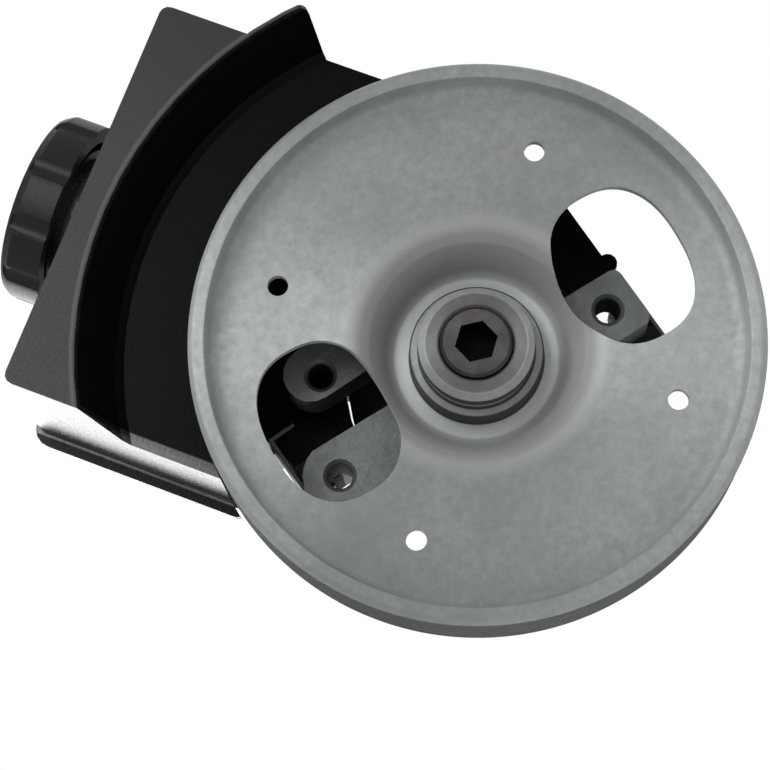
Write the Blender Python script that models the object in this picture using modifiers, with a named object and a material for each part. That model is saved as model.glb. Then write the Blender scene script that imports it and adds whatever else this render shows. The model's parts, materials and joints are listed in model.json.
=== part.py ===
"""Vane-type power steering pump with its pulley and clipped-on fluid reservoir.

Run in Blender 4.5, from the text editor or with: blender --background --python part.py
The script works in metres with +Z up. The shaft lies along Y and the pulley faces -Y.
The origin is on the shaft axis, in the plane where the mounting ears seat on their bracket.
"""

import math

import bmesh
import bpy
from mathutils import Matrix, Vector

MM = 0.001

# Clearances
SEAT_GAP = 0.3 * MM
SLOT_GAP = 0.25 * MM

# Drive shaft
SHAFT_RADIUS = 9.525 * MM
SHAFT_FRONT_Y = -38.2 * MM
SHAFT_REAR_Y = 38.6 * MM
SHAFT_CHAMFER = 0.8 * MM
SOCKET_ACROSS_FLATS = 10.0 * MM
SOCKET_DEPTH = 9.0 * MM
SPLINE_RADIUS = 8.3 * MM
SPLINE_TOOTH_HEIGHT = 0.9 * MM
SPLINE_TEETH = 14

# Pulley
PULLEY_RADIUS = 75.0 * MM
PULLEY_FRONT_Y = -44.5 * MM
PULLEY_REAR_Y = -20.0 * MM
PULLEY_STEPS = 44
PULLEY_PHASE = math.radians(4.2)
SHEET = 2.5 * MM
RIM_INNER_RADIUS = PULLEY_RADIUS - 4.65 * MM
RIM_LIP = 2.5 * MM
GROOVE_COUNT = 6
GROOVE_PITCH = 3.56 * MM
GROOVE_DEPTH = 2.4 * MM
WEB_DEPTH = 7.3 * MM
WEB_OUTER_RADIUS = RIM_INNER_RADIUS - 5.55 * MM
WEB_INNER_RADIUS = 34.5 * MM
FUNNEL_DEPTH = 24.9 * MM
FUNNEL_FLOOR_RADIUS = 22.2 * MM
FUNNEL_WALL_RADIUS = 28.4 * MM
NOSE_DEPTH = 8.0 * MM
NOSE_RADIUS = 15.3 * MM
NOSE_CHAMFER = 1.7 * MM
NOSE_LENGTH = 6.0 * MM
PULLER_GROOVE_RADIUS = 13.0 * MM
PULLER_GROOVE_WIDTH = 3.6 * MM
HUB_FLANGE_RADIUS = 17.8 * MM
TOOLING_HOLE_RADIUS = 2.75 * MM
TOOLING_HOLE_CIRCLE = WEB_OUTER_RADIUS - 10.5 * MM
TOOLING_HOLES = 4
WINDOW_INNER_RADIUS = 27.0 * MM
WINDOW_OUTER_RADIUS = WEB_OUTER_RADIUS - 4.6 * MM
WINDOW_CENTRE_RADIUS = (WINDOW_INNER_RADIUS + WINDOW_OUTER_RADIUS) / 2
WINDOW_HALF_DEPTH = (WINDOW_OUTER_RADIUS - WINDOW_INNER_RADIUS) / 2
WINDOW_HALF_WIDTH = 1.3 * WINDOW_HALF_DEPTH
WINDOW_POWER = 2.4
WINDOW_POINTS = 32

# Pump housing, whose arms lie along their own axis, turned about the shaft
ARM_TURN = math.radians(35.0)
EAR_THICKNESS = 15.0 * MM
BOLT_HOLE_RADIUS = 3.4 * MM
COUNTERSINK_RADIUS = 4.6 * MM
COUNTERSINK_DEPTH = 1.4 * MM
SIDE_EAR = Vector((-47.6 * MM, -5.0 * MM))
SIDE_EAR_RADIUS = 10.0 * MM
UPPER_EAR = Vector((-36.8 * MM, 20.8 * MM))
UPPER_EAR_MIDDLE = UPPER_EAR + Vector((-1.8 * MM, 1.8 * MM))
UPPER_EAR_RADIUS = 7.6 * MM
LOWER_EAR = Vector((37.4 * MM, -8.0 * MM))
LOWER_EAR_HALF_WIDTH = 8.8 * MM
LOWER_EAR_CORNER = 2.5 * MM
SEAT_PAD_HEIGHT = 0.8 * MM
SEAT_PAD_MARGIN = 0.8 * MM
BOSS_RADIUS = 21.0 * MM
BOSS_FRONT_Y = -14.4 * MM
BODY_RADIUS = 36.0 * MM
BODY_FRONT_Y = -2.0 * MM
BODY_NECK_Y = 5.0 * MM
BODY_SHOULDER_Y = 11.0 * MM
BODY_NECK_RADIUS = 26.0 * MM
CHAMBER_RADIUS = 30.0 * MM
CHAMBER_FLOOR_Y = 12.0 * MM

# Seal and bush
SEAL_BORE_RADIUS = 16.2 * MM
SEAL_SEAT_Y = -7.0 * MM
SEAL_WALL = 1.6 * MM
BUSH_WALL = 1.9 * MM

# Pumping group, stacked along Y from the chamber floor
THRUST_PLATE_THICKNESS = 5.0 * MM
RING_WIDTH = 16.0 * MM
PRESSURE_PLATE_THICKNESS = 6.6 * MM
PLATE_SPRING_HEIGHT = 4.0 * MM
PLATE_SPRING_RADIUS = 15.0 * MM
PLATE_SPRING_WIRE = 0.8 * MM
END_COVER_THICKNESS = 4.6 * MM
SNAP_RING_THICKNESS = 1.1 * MM
SNAP_GROOVE_DEPTH = 1.6 * MM
SNAP_RING_WIDTH = 3.2 * MM
REAR_LIP = 1.6 * MM
CAM_MEAN_RADIUS = 21.3 * MM
CAM_LIFT = 1.3 * MM
CAM_AXIS = math.radians(20.0)
CAM_POINTS = 60
VANE_COUNT = 10
VANE_THICKNESS = 1.8 * MM
VANE_LENGTH = 8.6 * MM
VANE_SLOT_SPARE = 0.9 * MM
SLOT_BULB_RADIUS = 1.7 * MM
PORT_RADIUS = 20.0 * MM
PORT_WIDTH = 3.6 * MM
PORT_SPAN = math.radians(50.0)
DOWEL_RADIUS = 1.7 * MM
DOWEL_CIRCLE = 24.6 * MM
DOWEL_DEPTH = 4.0 * MM
O_RING_RADIUS = 0.95 * MM

# Flow control valve, in a tower along Z
VALVE_X = -9.0 * MM
VALVE_Y = 16.0 * MM
TOWER_RADIUS = 11.5 * MM
TOWER_END_Z = -62.0 * MM
VALVE_BORE_RADIUS = 7.5 * MM
VALVE_BORE_TOP_Z = -33.0 * MM
VALVE_SPRING_HEIGHT = 10.0 * MM
VALVE_SPRING_RADIUS = 5.0 * MM
VALVE_SPRING_WIRE = 0.55 * MM
SPOOL_LENGTH = 14.0 * MM
SPOOL_GROOVE_DEPTH = 1.6 * MM
UNION_ACROSS_FLATS = 19.0 * MM
UNION_HEAD = 6.0 * MM
UNION_BORE_RADIUS = 4.2 * MM
FEED_HOLE_RADIUS = 2.0 * MM

# Reservoir, two moulded halves welded at a flanged seam
WALL = 2.8 * MM
TANK_FRONT_Y = -34.5 * MM
TANK_FLOOR_Y = -18.0 * MM
SEAM_Y = 4.5 * MM
TANK_REAR_Y = 48.5 * MM
TANK_CORNER = 2.6 * MM
TANK_BOTTOM_Z = 36.0 * MM
TANK_STEP_X = -33.0 * MM
TANK_STEP_Z = 47.5 * MM
RECESS_MOUTH_RADIUS = PULLEY_RADIUS + 31.0 * MM
RECESS_FOOT_RADIUS = PULLEY_RADIUS + 22.0 * MM
RECESS_FILLET = 3.5 * MM
RECESS_END_ANGLE = math.radians(46.5)
TANK_TOP_Z = RECESS_MOUTH_RADIUS + 7.3 * MM
TANK_SIDES = (
    (TANK_FRONT_Y, -52.6 * MM, 59.5 * MM, TANK_TOP_Z),
    (TANK_FLOOR_Y, -54.4 * MM, 61.3 * MM, TANK_TOP_Z - 2.1 * MM),
    (SEAM_Y, -57.0 * MM, 62.5 * MM, TANK_TOP_Z - 5.0 * MM),
    (TANK_REAR_Y, -53.0 * MM, 60.0 * MM, TANK_TOP_Z - 7.0 * MM),
)
SHOULDER_X = 65.4 * MM
SHOULDER_REAR_Y = TANK_REAR_Y - 12.0 * MM
SHOULDER_TOP_Z = 82.0 * MM
HORN_EDGE = 0.8 * MM
HORN_WALL = 3.0 * MM
HORN_CORNER = 3.2 * MM
DROP_RADIUS = PULLEY_RADIUS + 0.6 * MM
DROP_FLOOR_Y = 9.5 * MM
SADDLE_RADIUS = 39.5 * MM
FLANGE_REACH = 3.0 * MM
FLANGE_RISE = 1.2 * MM
FLANGE_HALF = 2.1 * MM
FLANGE_CORNER = 5.5 * MM
FLANGE_FOOT_CORNER = 2.0 * MM
RIB_PLACES = (-34.0 * MM, -8.0 * MM, 44.0 * MM)
RIB_HALF_WIDTH = 1.2 * MM
RIB_HEIGHT = 1.8 * MM
RIB_END_MARGIN = 9.0 * MM

# Filler neck and cap
CAP_Y = -13.0 * MM
NECK_RADIUS = 17.2 * MM
NECK_WALL = 2.8 * MM
NECK_TOP_Z = TANK_TOP_Z + 8.7 * MM
NECK_ROOT = 8.0 * MM
CAP_RADIUS = 26.5 * MM
CAP_BOTTOM_Z = TANK_TOP_Z + 3.9 * MM
CAP_TOP_Z = CAP_BOTTOM_Z + 12.4 * MM
CAP_SKIN = 2.6 * MM
CAP_FLUTES = 10
FLUTE_RADIUS = 4.2 * MM
FLUTE_DEPTH = 1.5 * MM
CAP_SEAL_THICKNESS = 1.5 * MM
DIPSTICK_WIDTH = 4.0 * MM
DIPSTICK_THICKNESS = 1.4 * MM
DIPSTICK_HEAD_RADIUS = 6.0 * MM
DIPSTICK_END_Z = DROP_RADIUS + WALL + 5.6 * MM

# Spigot from the reservoir into the housing, and the return tube behind
SPIGOT_Y = 24.0 * MM
SPIGOT_RADIUS = 8.6 * MM
SPIGOT_END_Z = 31.5 * MM
SPIGOT_BORE_TOP_Z = TANK_BOTTOM_Z + 10.0 * MM
INLET_BOSS_RADIUS = 14.5 * MM
INLET_BOSS_TOP_Z = 36.4 * MM
RETURN_TUBE_X = 22.0 * MM
RETURN_TUBE_Z = 66.0 * MM
RETURN_TUBE_RADIUS = 6.0 * MM
RETURN_TUBE_LENGTH = 18.0 * MM
TUBE_WALL = 2.0 * MM

# Spring clips that hold the reservoir's feet to the housing's feet
CLIP_SHEET = 1.3 * MM
CLIP_LEG = 7.0 * MM
CLIP_FRONT_Y = 6.0 * MM
CLIP_WIDTH = 15.0 * MM
FOOT_FRONT_Y = 5.2 * MM
FOOT_REAR_Y = 23.0 * MM
FOOT_HEIGHT = 9.0 * MM
LEFT_CLIP_U = -57.2 * MM
LEFT_CLIP_V = -2.6 * MM
RIGHT_CLIP_U = 50.6 * MM
RIGHT_CLIP_V = -25.0 * MM
SKIRT_WALL = 3.0 * MM

# Segments in a circle
FINE = 40
ROUND = 24


def clear_scene():
    for old in list(bpy.data.objects):
        bpy.data.objects.remove(old)


def new_collection(name):
    home = bpy.data.collections.new(name)
    bpy.context.scene.collection.children.link(home)
    return home


def new_material(name, colour, roughness, metallic):
    made = bpy.data.materials.new(name)
    made.use_nodes = True
    shader = made.node_tree.nodes["Principled BSDF"]
    shader.inputs["Base Color"].default_value = (*colour, 1.0)
    shader.inputs["Roughness"].default_value = roughness
    shader.inputs["Metallic"].default_value = metallic
    return made


clear_scene()
PUMP = new_collection("power_steering_pump")
CUTTERS = new_collection("cutters")
STEEL = new_material("zinc_steel", (0.46, 0.48, 0.47), 0.45, 0.9)
DARK_STEEL = new_material("dark_steel", (0.16, 0.16, 0.16), 0.4, 0.9)
CAST = new_material("cast_metal", (0.30, 0.31, 0.31), 0.6, 0.7)
BRONZE = new_material("bronze", (0.45, 0.30, 0.14), 0.4, 0.9)
PLASTIC = new_material("black_plastic", (0.02, 0.02, 0.022), 0.3, 0.0)
RUBBER = new_material("black_rubber", (0.03, 0.03, 0.03), 0.7, 0.0)


def adopt(name, mesh):
    made = bpy.data.objects.new(name, mesh)
    CUTTERS.objects.link(made)
    made.hide_render = True
    made.display_type = "WIRE"
    return made


def from_bmesh(name, shape):
    bmesh.ops.recalc_face_normals(shape, faces=shape.faces)
    mesh = bpy.data.meshes.new(name)
    shape.to_mesh(mesh)
    shape.free()
    return adopt(name, mesh)


def bake(thing):
    """Replace an object's mesh by its evaluated one, facing out, with its modifiers used up."""
    graph = bpy.context.evaluated_depsgraph_get()
    mesh = bpy.data.meshes.new_from_object(thing.evaluated_get(graph))
    thing.modifiers.clear()
    thing.data = mesh
    shape = bmesh.new()
    shape.from_mesh(mesh)
    bmesh.ops.remove_doubles(shape, verts=shape.verts, dist=1e-7)
    bmesh.ops.recalc_face_normals(shape, faces=shape.faces)
    shape.to_mesh(mesh)
    shape.free()
    return thing


def combine(target, tool, operation):
    """Union, difference or intersection with a tool that is used up."""
    modifier = target.modifiers.new(operation.lower(), "BOOLEAN")
    modifier.operation = operation
    modifier.solver = "EXACT"
    modifier.object = tool
    bake(target)
    bpy.data.objects.remove(tool)
    return target


def join(target, *tools):
    for tool in tools:
        combine(target, tool, "UNION")
    return target


def cut(target, *tools):
    for tool in tools:
        combine(target, tool, "DIFFERENCE")
    return target


def keep(target, tool):
    return combine(target, tool, "INTERSECT")


def moved(thing, matrix):
    thing.data.transform(matrix)
    return thing


def turned(name, profile, steps, axis="Y", closed=True):
    """Turn a profile of (radius, height) points about a world axis."""
    shape = bmesh.new()
    places = [(r, h, 0.0) if axis == "Y" else (r, 0.0, h) for r, h in profile]
    points = [shape.verts.new(place) for place in places]
    for first, second in zip(points, points[1:]):
        shape.edges.new((first, second))
    if closed:
        shape.edges.new((points[-1], points[0]))
    mesh = bpy.data.meshes.new(name)
    shape.to_mesh(mesh)
    shape.free()
    thing = adopt(name, mesh)
    screw = thing.modifiers.new("turn", "SCREW")
    screw.axis = axis
    screw.angle = 2 * math.pi
    screw.steps = steps
    screw.render_steps = steps
    screw.use_merge_vertices = True
    screw.merge_threshold = 1e-6
    return bake(thing)


def cylinder(name, radius, low, high, axis="Y", steps=ROUND, centre=(0.0, 0.0)):
    """A cylinder along an axis. The centre is given in the two other axes, in X, Y, Z order."""
    return cone(name, radius, radius, low, high, axis, steps, centre)


def cone(name, low_radius, high_radius, low, high, axis="Y", steps=ROUND, centre=(0.0, 0.0)):
    shape = bmesh.new()
    bmesh.ops.create_cone(
        shape, cap_ends=True, segments=steps, radius1=low_radius, radius2=high_radius, depth=high - low
    )
    thing = from_bmesh(name, shape)
    middle = (low + high) / 2
    if axis == "Y":
        turn = Matrix.Rotation(math.radians(-90), 4, "X")
        place = Matrix.Translation((centre[0], middle, centre[1]))
    elif axis == "X":
        turn = Matrix.Rotation(math.radians(90), 4, "Y")
        place = Matrix.Translation((middle, centre[0], centre[1]))
    else:
        turn = Matrix.Identity(4)
        place = Matrix.Translation((centre[0], centre[1], middle))
    return moved(thing, place @ turn)


def block(name, low, high):
    shape = bmesh.new()
    bmesh.ops.create_cube(shape, size=1.0)
    size = [b - a for a, b in zip(low, high)]
    middle = [(a + b) / 2 for a, b in zip(low, high)]
    bmesh.ops.transform(
        shape, matrix=Matrix.Translation(middle) @ Matrix.Diagonal((*size, 1.0)), verts=shape.verts
    )
    return from_bmesh(name, shape)


def prism(name, outline, low, high, axis="Y"):
    """Extrude a flat outline along an axis: (x, z) points along Y, or (x, y) points along Z."""
    curve = bpy.data.curves.new(name, "CURVE")
    curve.dimensions = "2D"
    curve.fill_mode = "BOTH"
    curve.extrude = (high - low) / 2
    line = curve.splines.new("POLY")
    line.points.add(len(outline) - 1)
    for point, (across, up) in zip(line.points, outline):
        point.co = (across, up, 0.0, 1.0)
    line.use_cyclic_u = True
    guide = bpy.data.objects.new(name, curve)
    CUTTERS.objects.link(guide)
    graph = bpy.context.evaluated_depsgraph_get()
    mesh = bpy.data.meshes.new_from_object(guide.evaluated_get(graph))
    bpy.data.objects.remove(guide)
    shape = bmesh.new()
    shape.from_mesh(mesh)
    bpy.data.meshes.remove(mesh)
    bmesh.ops.remove_doubles(shape, verts=shape.verts, dist=1e-7)
    middle = (low + high) / 2
    if axis == "Y":
        place = Matrix.Translation((0.0, middle, 0.0)) @ Matrix.Rotation(math.radians(90), 4, "X")
    else:
        place = Matrix.Translation((0.0, 0.0, middle))
    bmesh.ops.transform(shape, matrix=place, verts=shape.verts)
    return from_bmesh(name, shape)


def loft(name, sections):
    """Join closed loops of equally many 3D points into one solid."""
    shape = bmesh.new()
    loops = [[shape.verts.new(point) for point in section] for section in sections]
    for near, far in zip(loops, loops[1:]):
        for i in range(len(near)):
            j = (i + 1) % len(near)
            shape.faces.new((near[i], near[j], far[j], far[i]))
    shape.faces.new(list(reversed(loops[0])))
    shape.faces.new(loops[-1])
    return from_bmesh(name, shape)


def wire_coil(name, radius, wire, turns, low, high, axis, centre):
    """A round-wire compression spring along Z or Y."""
    per_turn = 12
    count = int(turns * per_turn)
    curve = bpy.data.curves.new(name, "CURVE")
    curve.dimensions = "3D"
    curve.bevel_depth = wire
    curve.bevel_resolution = 1
    curve.use_fill_caps = True
    line = curve.splines.new("POLY")
    line.points.add(count)
    for i, point in enumerate(line.points):
        angle = 2 * math.pi * i / per_turn
        along = low + wire + (high - low - 2 * wire) * i / count
        across, up = radius * math.cos(angle), radius * math.sin(angle)
        if axis == "Z":
            place = (centre[0] + across, centre[1] + up, along)
        else:
            place = (centre[0] + across, along, centre[1] + up)
        point.co = (*place, 1.0)
    guide = bpy.data.objects.new(name, curve)
    CUTTERS.objects.link(guide)
    graph = bpy.context.evaluated_depsgraph_get()
    mesh = bpy.data.meshes.new_from_object(guide.evaluated_get(graph))
    bpy.data.objects.remove(guide)
    shape = bmesh.new()
    shape.from_mesh(mesh)
    bpy.data.meshes.remove(mesh)
    bmesh.ops.remove_doubles(shape, verts=shape.verts, dist=1e-7)
    return from_bmesh(name, shape)


def o_ring(name, radius, section, height, axis="Y", centre=(0.0, 0.0), steps=ROUND):
    sides = 6
    profile = [
        (
            radius + section * math.cos(2 * math.pi * i / sides),
            section * math.sin(2 * math.pi * i / sides),
        )
        for i in range(sides)
    ]
    ring = turned(name, profile, steps, axis)
    place = (centre[0], height, centre[1]) if axis == "Y" else (centre[0], centre[1], height)
    return moved(ring, Matrix.Translation(place))


def arc(centre, radius, start, end, count):
    """Points on an arc, ends included, with angles in radians."""
    return [
        (
            centre[0] + radius * math.cos(start + (end - start) * i / count),
            centre[1] + radius * math.sin(start + (end - start) * i / count),
        )
        for i in range(count + 1)
    ]


def rounded_outline(left, right, bottom, top, radius, count=3):
    """A rectangle with round corners, from its lower left corner round by the lower right."""
    quarter = math.pi / 2
    corners = (
        ((left + radius, bottom + radius), 2 * quarter),
        ((right - radius, bottom + radius), 3 * quarter),
        ((right - radius, top - radius), 0.0),
        ((left + radius, top - radius), quarter),
    )
    return [p for centre, start in corners for p in arc(centre, radius, start, start + quarter, count)]


def regular_outline(across_flats, sides, turn=0.0):
    reach = across_flats / 2 / math.cos(math.pi / sides)
    return [
        (reach * math.cos(turn + 2 * math.pi * i / sides), reach * math.sin(turn + 2 * math.pi * i / sides))
        for i in range(sides)
    ]


def on_arm(u, v):
    """A point of the housing's arm plane, in X and Z."""
    return (
        u * math.cos(ARM_TURN) + v * math.sin(ARM_TURN),
        -u * math.sin(ARM_TURN) + v * math.cos(ARM_TURN),
    )


def arm_block(name, u_low, u_high, v_low, v_high, y_low, y_high):
    corners = ((u_low, v_low), (u_high, v_low), (u_high, v_high), (u_low, v_high))
    return prism(name, [on_arm(u, v) for u, v in corners], y_low, y_high)


def finish(thing, name, material, carrier=None, smooth=35.0):
    """Move a modelled solid to the pump's collection, under the empty on its joint's axis."""
    thing.name = name
    thing.data.name = name
    CUTTERS.objects.unlink(thing)
    PUMP.objects.link(thing)
    thing.hide_render = False
    thing.display_type = "TEXTURED"
    thing.data.materials.clear()
    thing.data.materials.append(material)
    thing.data.shade_smooth()
    thing.data.set_sharp_from_angle(angle=math.radians(smooth))
    if carrier:
        moved(thing, Matrix.Translation(-carrier.location))
        thing.parent = carrier
    return thing


def new_empty(name, place):
    empty = bpy.data.objects.new(name, None)
    empty.location = place
    empty.empty_display_size = 0.02
    PUMP.objects.link(empty)
    return empty


SHAFT_AXIS = new_empty("shaft_axis", (0.0, 0.0, 0.0))
CAP_AXIS = new_empty("cap_axis", (0.0, CAP_Y, NECK_TOP_Z))
VALVE_AXIS = new_empty("valve_axis", (VALVE_X, VALVE_Y, VALVE_BORE_TOP_Z))

# Places along the shaft that follow from the stack
PLATE_FRONT_Y = CHAMBER_FLOOR_Y + SEAT_GAP
RING_FRONT_Y = PLATE_FRONT_Y + THRUST_PLATE_THICKNESS + SEAT_GAP
RING_REAR_Y = RING_FRONT_Y + RING_WIDTH
PRESSURE_FRONT_Y = RING_REAR_Y + SEAT_GAP
PRESSURE_REAR_Y = PRESSURE_FRONT_Y + PRESSURE_PLATE_THICKNESS
COVER_FRONT_Y = PRESSURE_REAR_Y + PLATE_SPRING_HEIGHT
COVER_REAR_Y = COVER_FRONT_Y + END_COVER_THICKNESS
SNAP_FRONT_Y = COVER_REAR_Y + SEAT_GAP
SNAP_REAR_Y = SNAP_FRONT_Y + SNAP_RING_THICKNESS
BODY_REAR_Y = SNAP_REAR_Y + SEAT_GAP + REAR_LIP
GROUP_RADIUS = CHAMBER_RADIUS - SEAT_GAP
VANE_TIP_RADIUS = CAM_MEAN_RADIUS - CAM_LIFT - SEAT_GAP
VANE_ROOT_RADIUS = VANE_TIP_RADIUS - VANE_LENGTH
ROTOR_RADIUS = VANE_TIP_RADIUS - 0.1 * MM
ROTOR_FRONT_Y = RING_FRONT_Y + SEAT_GAP
ROTOR_REAR_Y = RING_REAR_Y - SEAT_GAP
ROTOR_TURN = CAM_AXIS + math.pi / VANE_COUNT


def pulley_profile():
    """Half section of the stamped pulley, from its bore round by the front and back."""
    front, rear, out = PULLEY_FRONT_Y, PULLEY_REAR_Y, PULLEY_RADIUS
    bore = SHAFT_RADIUS + SEAT_GAP
    nose = front + NOSE_DEPTH
    groove_front = nose + NOSE_LENGTH
    groove_rear = groove_front + PULLER_GROOVE_WIDTH
    web = front + WEB_DEPTH
    floor = front + FUNNEL_DEPTH
    fillet = RIM_INNER_RADIUS - WEB_OUTER_RADIUS
    hub = [
        (bore, nose),
        (NOSE_RADIUS - NOSE_CHAMFER, nose),
        (NOSE_RADIUS, nose + NOSE_CHAMFER),
        (NOSE_RADIUS, groove_front),
        (PULLER_GROOVE_RADIUS, groove_front),
        (PULLER_GROOVE_RADIUS, groove_rear),
        (HUB_FLANGE_RADIUS, groove_rear),
        (HUB_FLANGE_RADIUS, floor),
    ]
    wall_foot, wall_head = FUNNEL_FLOOR_RADIUS + 2.4 * MM, FUNNEL_WALL_RADIUS
    dish = [
        (FUNNEL_FLOOR_RADIUS, floor),
        (wall_foot, floor - 2.4 * MM),
        (wall_head, web + 4.0 * MM),
        (wall_head + 2.2 * MM, web + 1.1 * MM),
        (WEB_INNER_RADIUS, web),
        (WEB_OUTER_RADIUS, web),
        (WEB_OUTER_RADIUS + 0.6 * fillet, web - 0.2 * fillet),
        (RIM_INNER_RADIUS, web - fillet),
        (RIM_INNER_RADIUS, front + 0.3 * MM),
        (RIM_INNER_RADIUS + 0.5 * MM, front),
        (out - 2.4 * MM, front),
        (out - 0.6 * MM, front + 0.45 * RIM_LIP),
        (out, front + RIM_LIP),
    ]
    grooves = []
    for i in range(GROOVE_COUNT):
        start = front + RIM_LIP + i * GROOVE_PITCH
        grooves.append((out - GROOVE_DEPTH, start + GROOVE_PITCH / 2))
        grooves.append((out, start + GROOVE_PITCH))
    back = [
        (out, rear),
        (RIM_INNER_RADIUS, rear),
        (RIM_INNER_RADIUS, web + SHEET + fillet),
        (WEB_OUTER_RADIUS, web + SHEET),
        (WEB_INNER_RADIUS + SHEET, web + SHEET),
        (wall_head + SHEET, web + 6.0 * MM),
        (wall_foot + SHEET, floor - 0.5 * MM),
        (FUNNEL_FLOOR_RADIUS + 1.6 * MM, floor + SHEET),
        (bore, floor + SHEET),
    ]
    return hub + dish + grooves + back


def window_outline():
    """Egg-shaped window: a superellipse wide along the rim and shallow towards the hub."""
    points = []
    for i in range(WINDOW_POINTS):
        angle = 2 * math.pi * i / WINDOW_POINTS
        c, s = math.cos(angle), math.sin(angle)
        points.append(
            (
                WINDOW_CENTRE_RADIUS + WINDOW_HALF_DEPTH * math.copysign(abs(c) ** (2 / WINDOW_POWER), c),
                WINDOW_HALF_WIDTH * math.copysign(abs(s) ** (2 / WINDOW_POWER), s),
            )
        )
    return points


def turned_about_shaft(points, angle):
    """Turn (x, z) points about the shaft, from +X towards +Z."""
    c, s = math.cos(angle), math.sin(angle)
    return [(x * c - z * s, x * s + z * c) for x, z in points]


def make_pulley():
    pulley = turned("pulley", pulley_profile(), PULLEY_STEPS)
    reach = (PULLEY_FRONT_Y - 5 * MM, PULLEY_REAR_Y + 5 * MM)
    for i in range(TOOLING_HOLES):
        angle = PULLEY_PHASE + 2 * math.pi * i / TOOLING_HOLES
        place = (TOOLING_HOLE_CIRCLE * math.cos(angle), TOOLING_HOLE_CIRCLE * math.sin(angle))
        cut(pulley, cylinder("hole", TOOLING_HOLE_RADIUS, *reach, steps=12, centre=place))
    for side in (0, 1):
        angle = PULLEY_PHASE + math.radians(135 + 180 * side)
        outline = turned_about_shaft(window_outline(), angle)
        cut(pulley, prism("window", outline, *reach))
    finish(pulley, "pulley", STEEL, SHAFT_AXIS)


def spline_outline(clearance=0.0):
    """Straight-sided teeth round the shaft's rear end, or the rotor's matching bore."""
    points = []
    root = SPLINE_RADIUS - SPLINE_TOOTH_HEIGHT + clearance
    tip = SPLINE_RADIUS + clearance
    for i in range(SPLINE_TEETH):
        for radius, share in ((root, -0.36), (tip, -0.16), (tip, 0.16), (root, 0.36)):
            angle = ROTOR_TURN + 2 * math.pi * (i + share) / SPLINE_TEETH
            points.append((radius * math.cos(angle), radius * math.sin(angle)))
    return points


def make_drive_shaft():
    clip_front = ROTOR_REAR_Y + SEAT_GAP
    clip_rear = clip_front + SNAP_RING_THICKNESS + 2 * SEAT_GAP
    neck = SPLINE_RADIUS - SPLINE_TOOTH_HEIGHT
    groove = neck - 1.0 * MM
    step_y = CHAMBER_FLOOR_Y - SEAT_GAP
    profile = [
        (0.0, SHAFT_FRONT_Y),
        (SHAFT_RADIUS - SHAFT_CHAMFER, SHAFT_FRONT_Y),
        (SHAFT_RADIUS, SHAFT_FRONT_Y + SHAFT_CHAMFER),
        (SHAFT_RADIUS, step_y),
        (neck, step_y + 1.0 * MM),
        (neck, clip_front),
        (groove, clip_front),
        (groove, clip_rear),
        (neck, clip_rear),
        (neck, SHAFT_REAR_Y - SHAFT_CHAMFER),
        (neck - SHAFT_CHAMFER, SHAFT_REAR_Y),
        (0.0, SHAFT_REAR_Y),
    ]
    shaft = turned("drive_shaft", profile, ROUND, closed=False)
    join(shaft, prism("spline", spline_outline(), ROTOR_FRONT_Y, ROTOR_REAR_Y))
    socket = regular_outline(SOCKET_ACROSS_FLATS, 6, PULLEY_PHASE)
    cut(shaft, prism("socket", socket, SHAFT_FRONT_Y - 1 * MM, SHAFT_FRONT_Y + SOCKET_DEPTH))
    finish(shaft, "drive_shaft", DARK_STEEL, SHAFT_AXIS)


def make_shaft_seal():
    front = -EAR_THICKNESS + 0.8 * MM
    rear = SEAL_SEAT_Y - SEAT_GAP
    out, lip = SEAL_BORE_RADIUS - SEAT_GAP, SHAFT_RADIUS + SEAT_GAP
    profile = [
        (lip + 1.2 * MM, front),
        (out, front),
        (out, rear),
        (out - SEAL_WALL, rear),
        (out - SEAL_WALL, front + SEAL_WALL),
        (lip + 2.2 * MM, front + SEAL_WALL),
        (lip + 1.6 * MM, rear - 1.0 * MM),
        (lip, rear - 2.0 * MM),
    ]
    finish(turned("shaft_seal", profile, ROUND), "shaft_seal", RUBBER)


def make_shaft_bush():
    inner = SHAFT_RADIUS + SEAT_GAP
    outer = inner + BUSH_WALL
    front, rear = SEAL_SEAT_Y + SEAT_GAP, CHAMBER_FLOOR_Y - 1.2 * MM
    profile = [(inner, front), (outer, front), (outer, rear), (inner, rear)]
    finish(turned("shaft_bush", profile, ROUND), "shaft_bush", BRONZE)


def bar_outline():
    """The arm plate that carries the side ear and the lower ear, in arm coordinates."""
    quarter = math.pi / 2
    end_u = LOWER_EAR.x + LOWER_EAR_HALF_WIDTH
    top_v, low_v = LOWER_EAR.y + LOWER_EAR_HALF_WIDTH, LOWER_EAR.y - LOWER_EAR_HALF_WIDTH
    corner = LOWER_EAR_CORNER
    points = arc(SIDE_EAR, SIDE_EAR_RADIUS, 1.15 * quarter, 2.85 * quarter, 10)
    points += arc((end_u - corner, low_v + corner), corner, 3 * quarter, 4 * quarter, 3)
    points += arc((end_u - corner, top_v - corner), corner, 0.0, quarter, 3)
    return [on_arm(u, v) for u, v in points]


def upper_arm_outline():
    quarter = math.pi / 2
    middle, radius = UPPER_EAR_MIDDLE, UPPER_EAR_RADIUS
    points = arc(middle, radius, quarter, 3 * quarter, 8)
    points += [(-6.0 * MM, middle.y - radius), (2.0 * MM, middle.y + radius)]
    return [on_arm(u, v) for u, v in points]


def seat_pads():
    """The round machined pads behind the ears, where the pump seats on its bracket."""
    pads = (
        (SIDE_EAR, SIDE_EAR_RADIUS - SEAT_PAD_MARGIN),
        (UPPER_EAR_MIDDLE, UPPER_EAR_RADIUS - 0.5 * SEAT_PAD_MARGIN),
        (LOWER_EAR, LOWER_EAR_HALF_WIDTH - SEAT_PAD_MARGIN),
    )
    low = -2 * SEAT_PAD_HEIGHT
    return [cylinder("pad", radius, low, 0.0, steps=24, centre=on_arm(*ear)) for ear, radius in pads]


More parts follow.
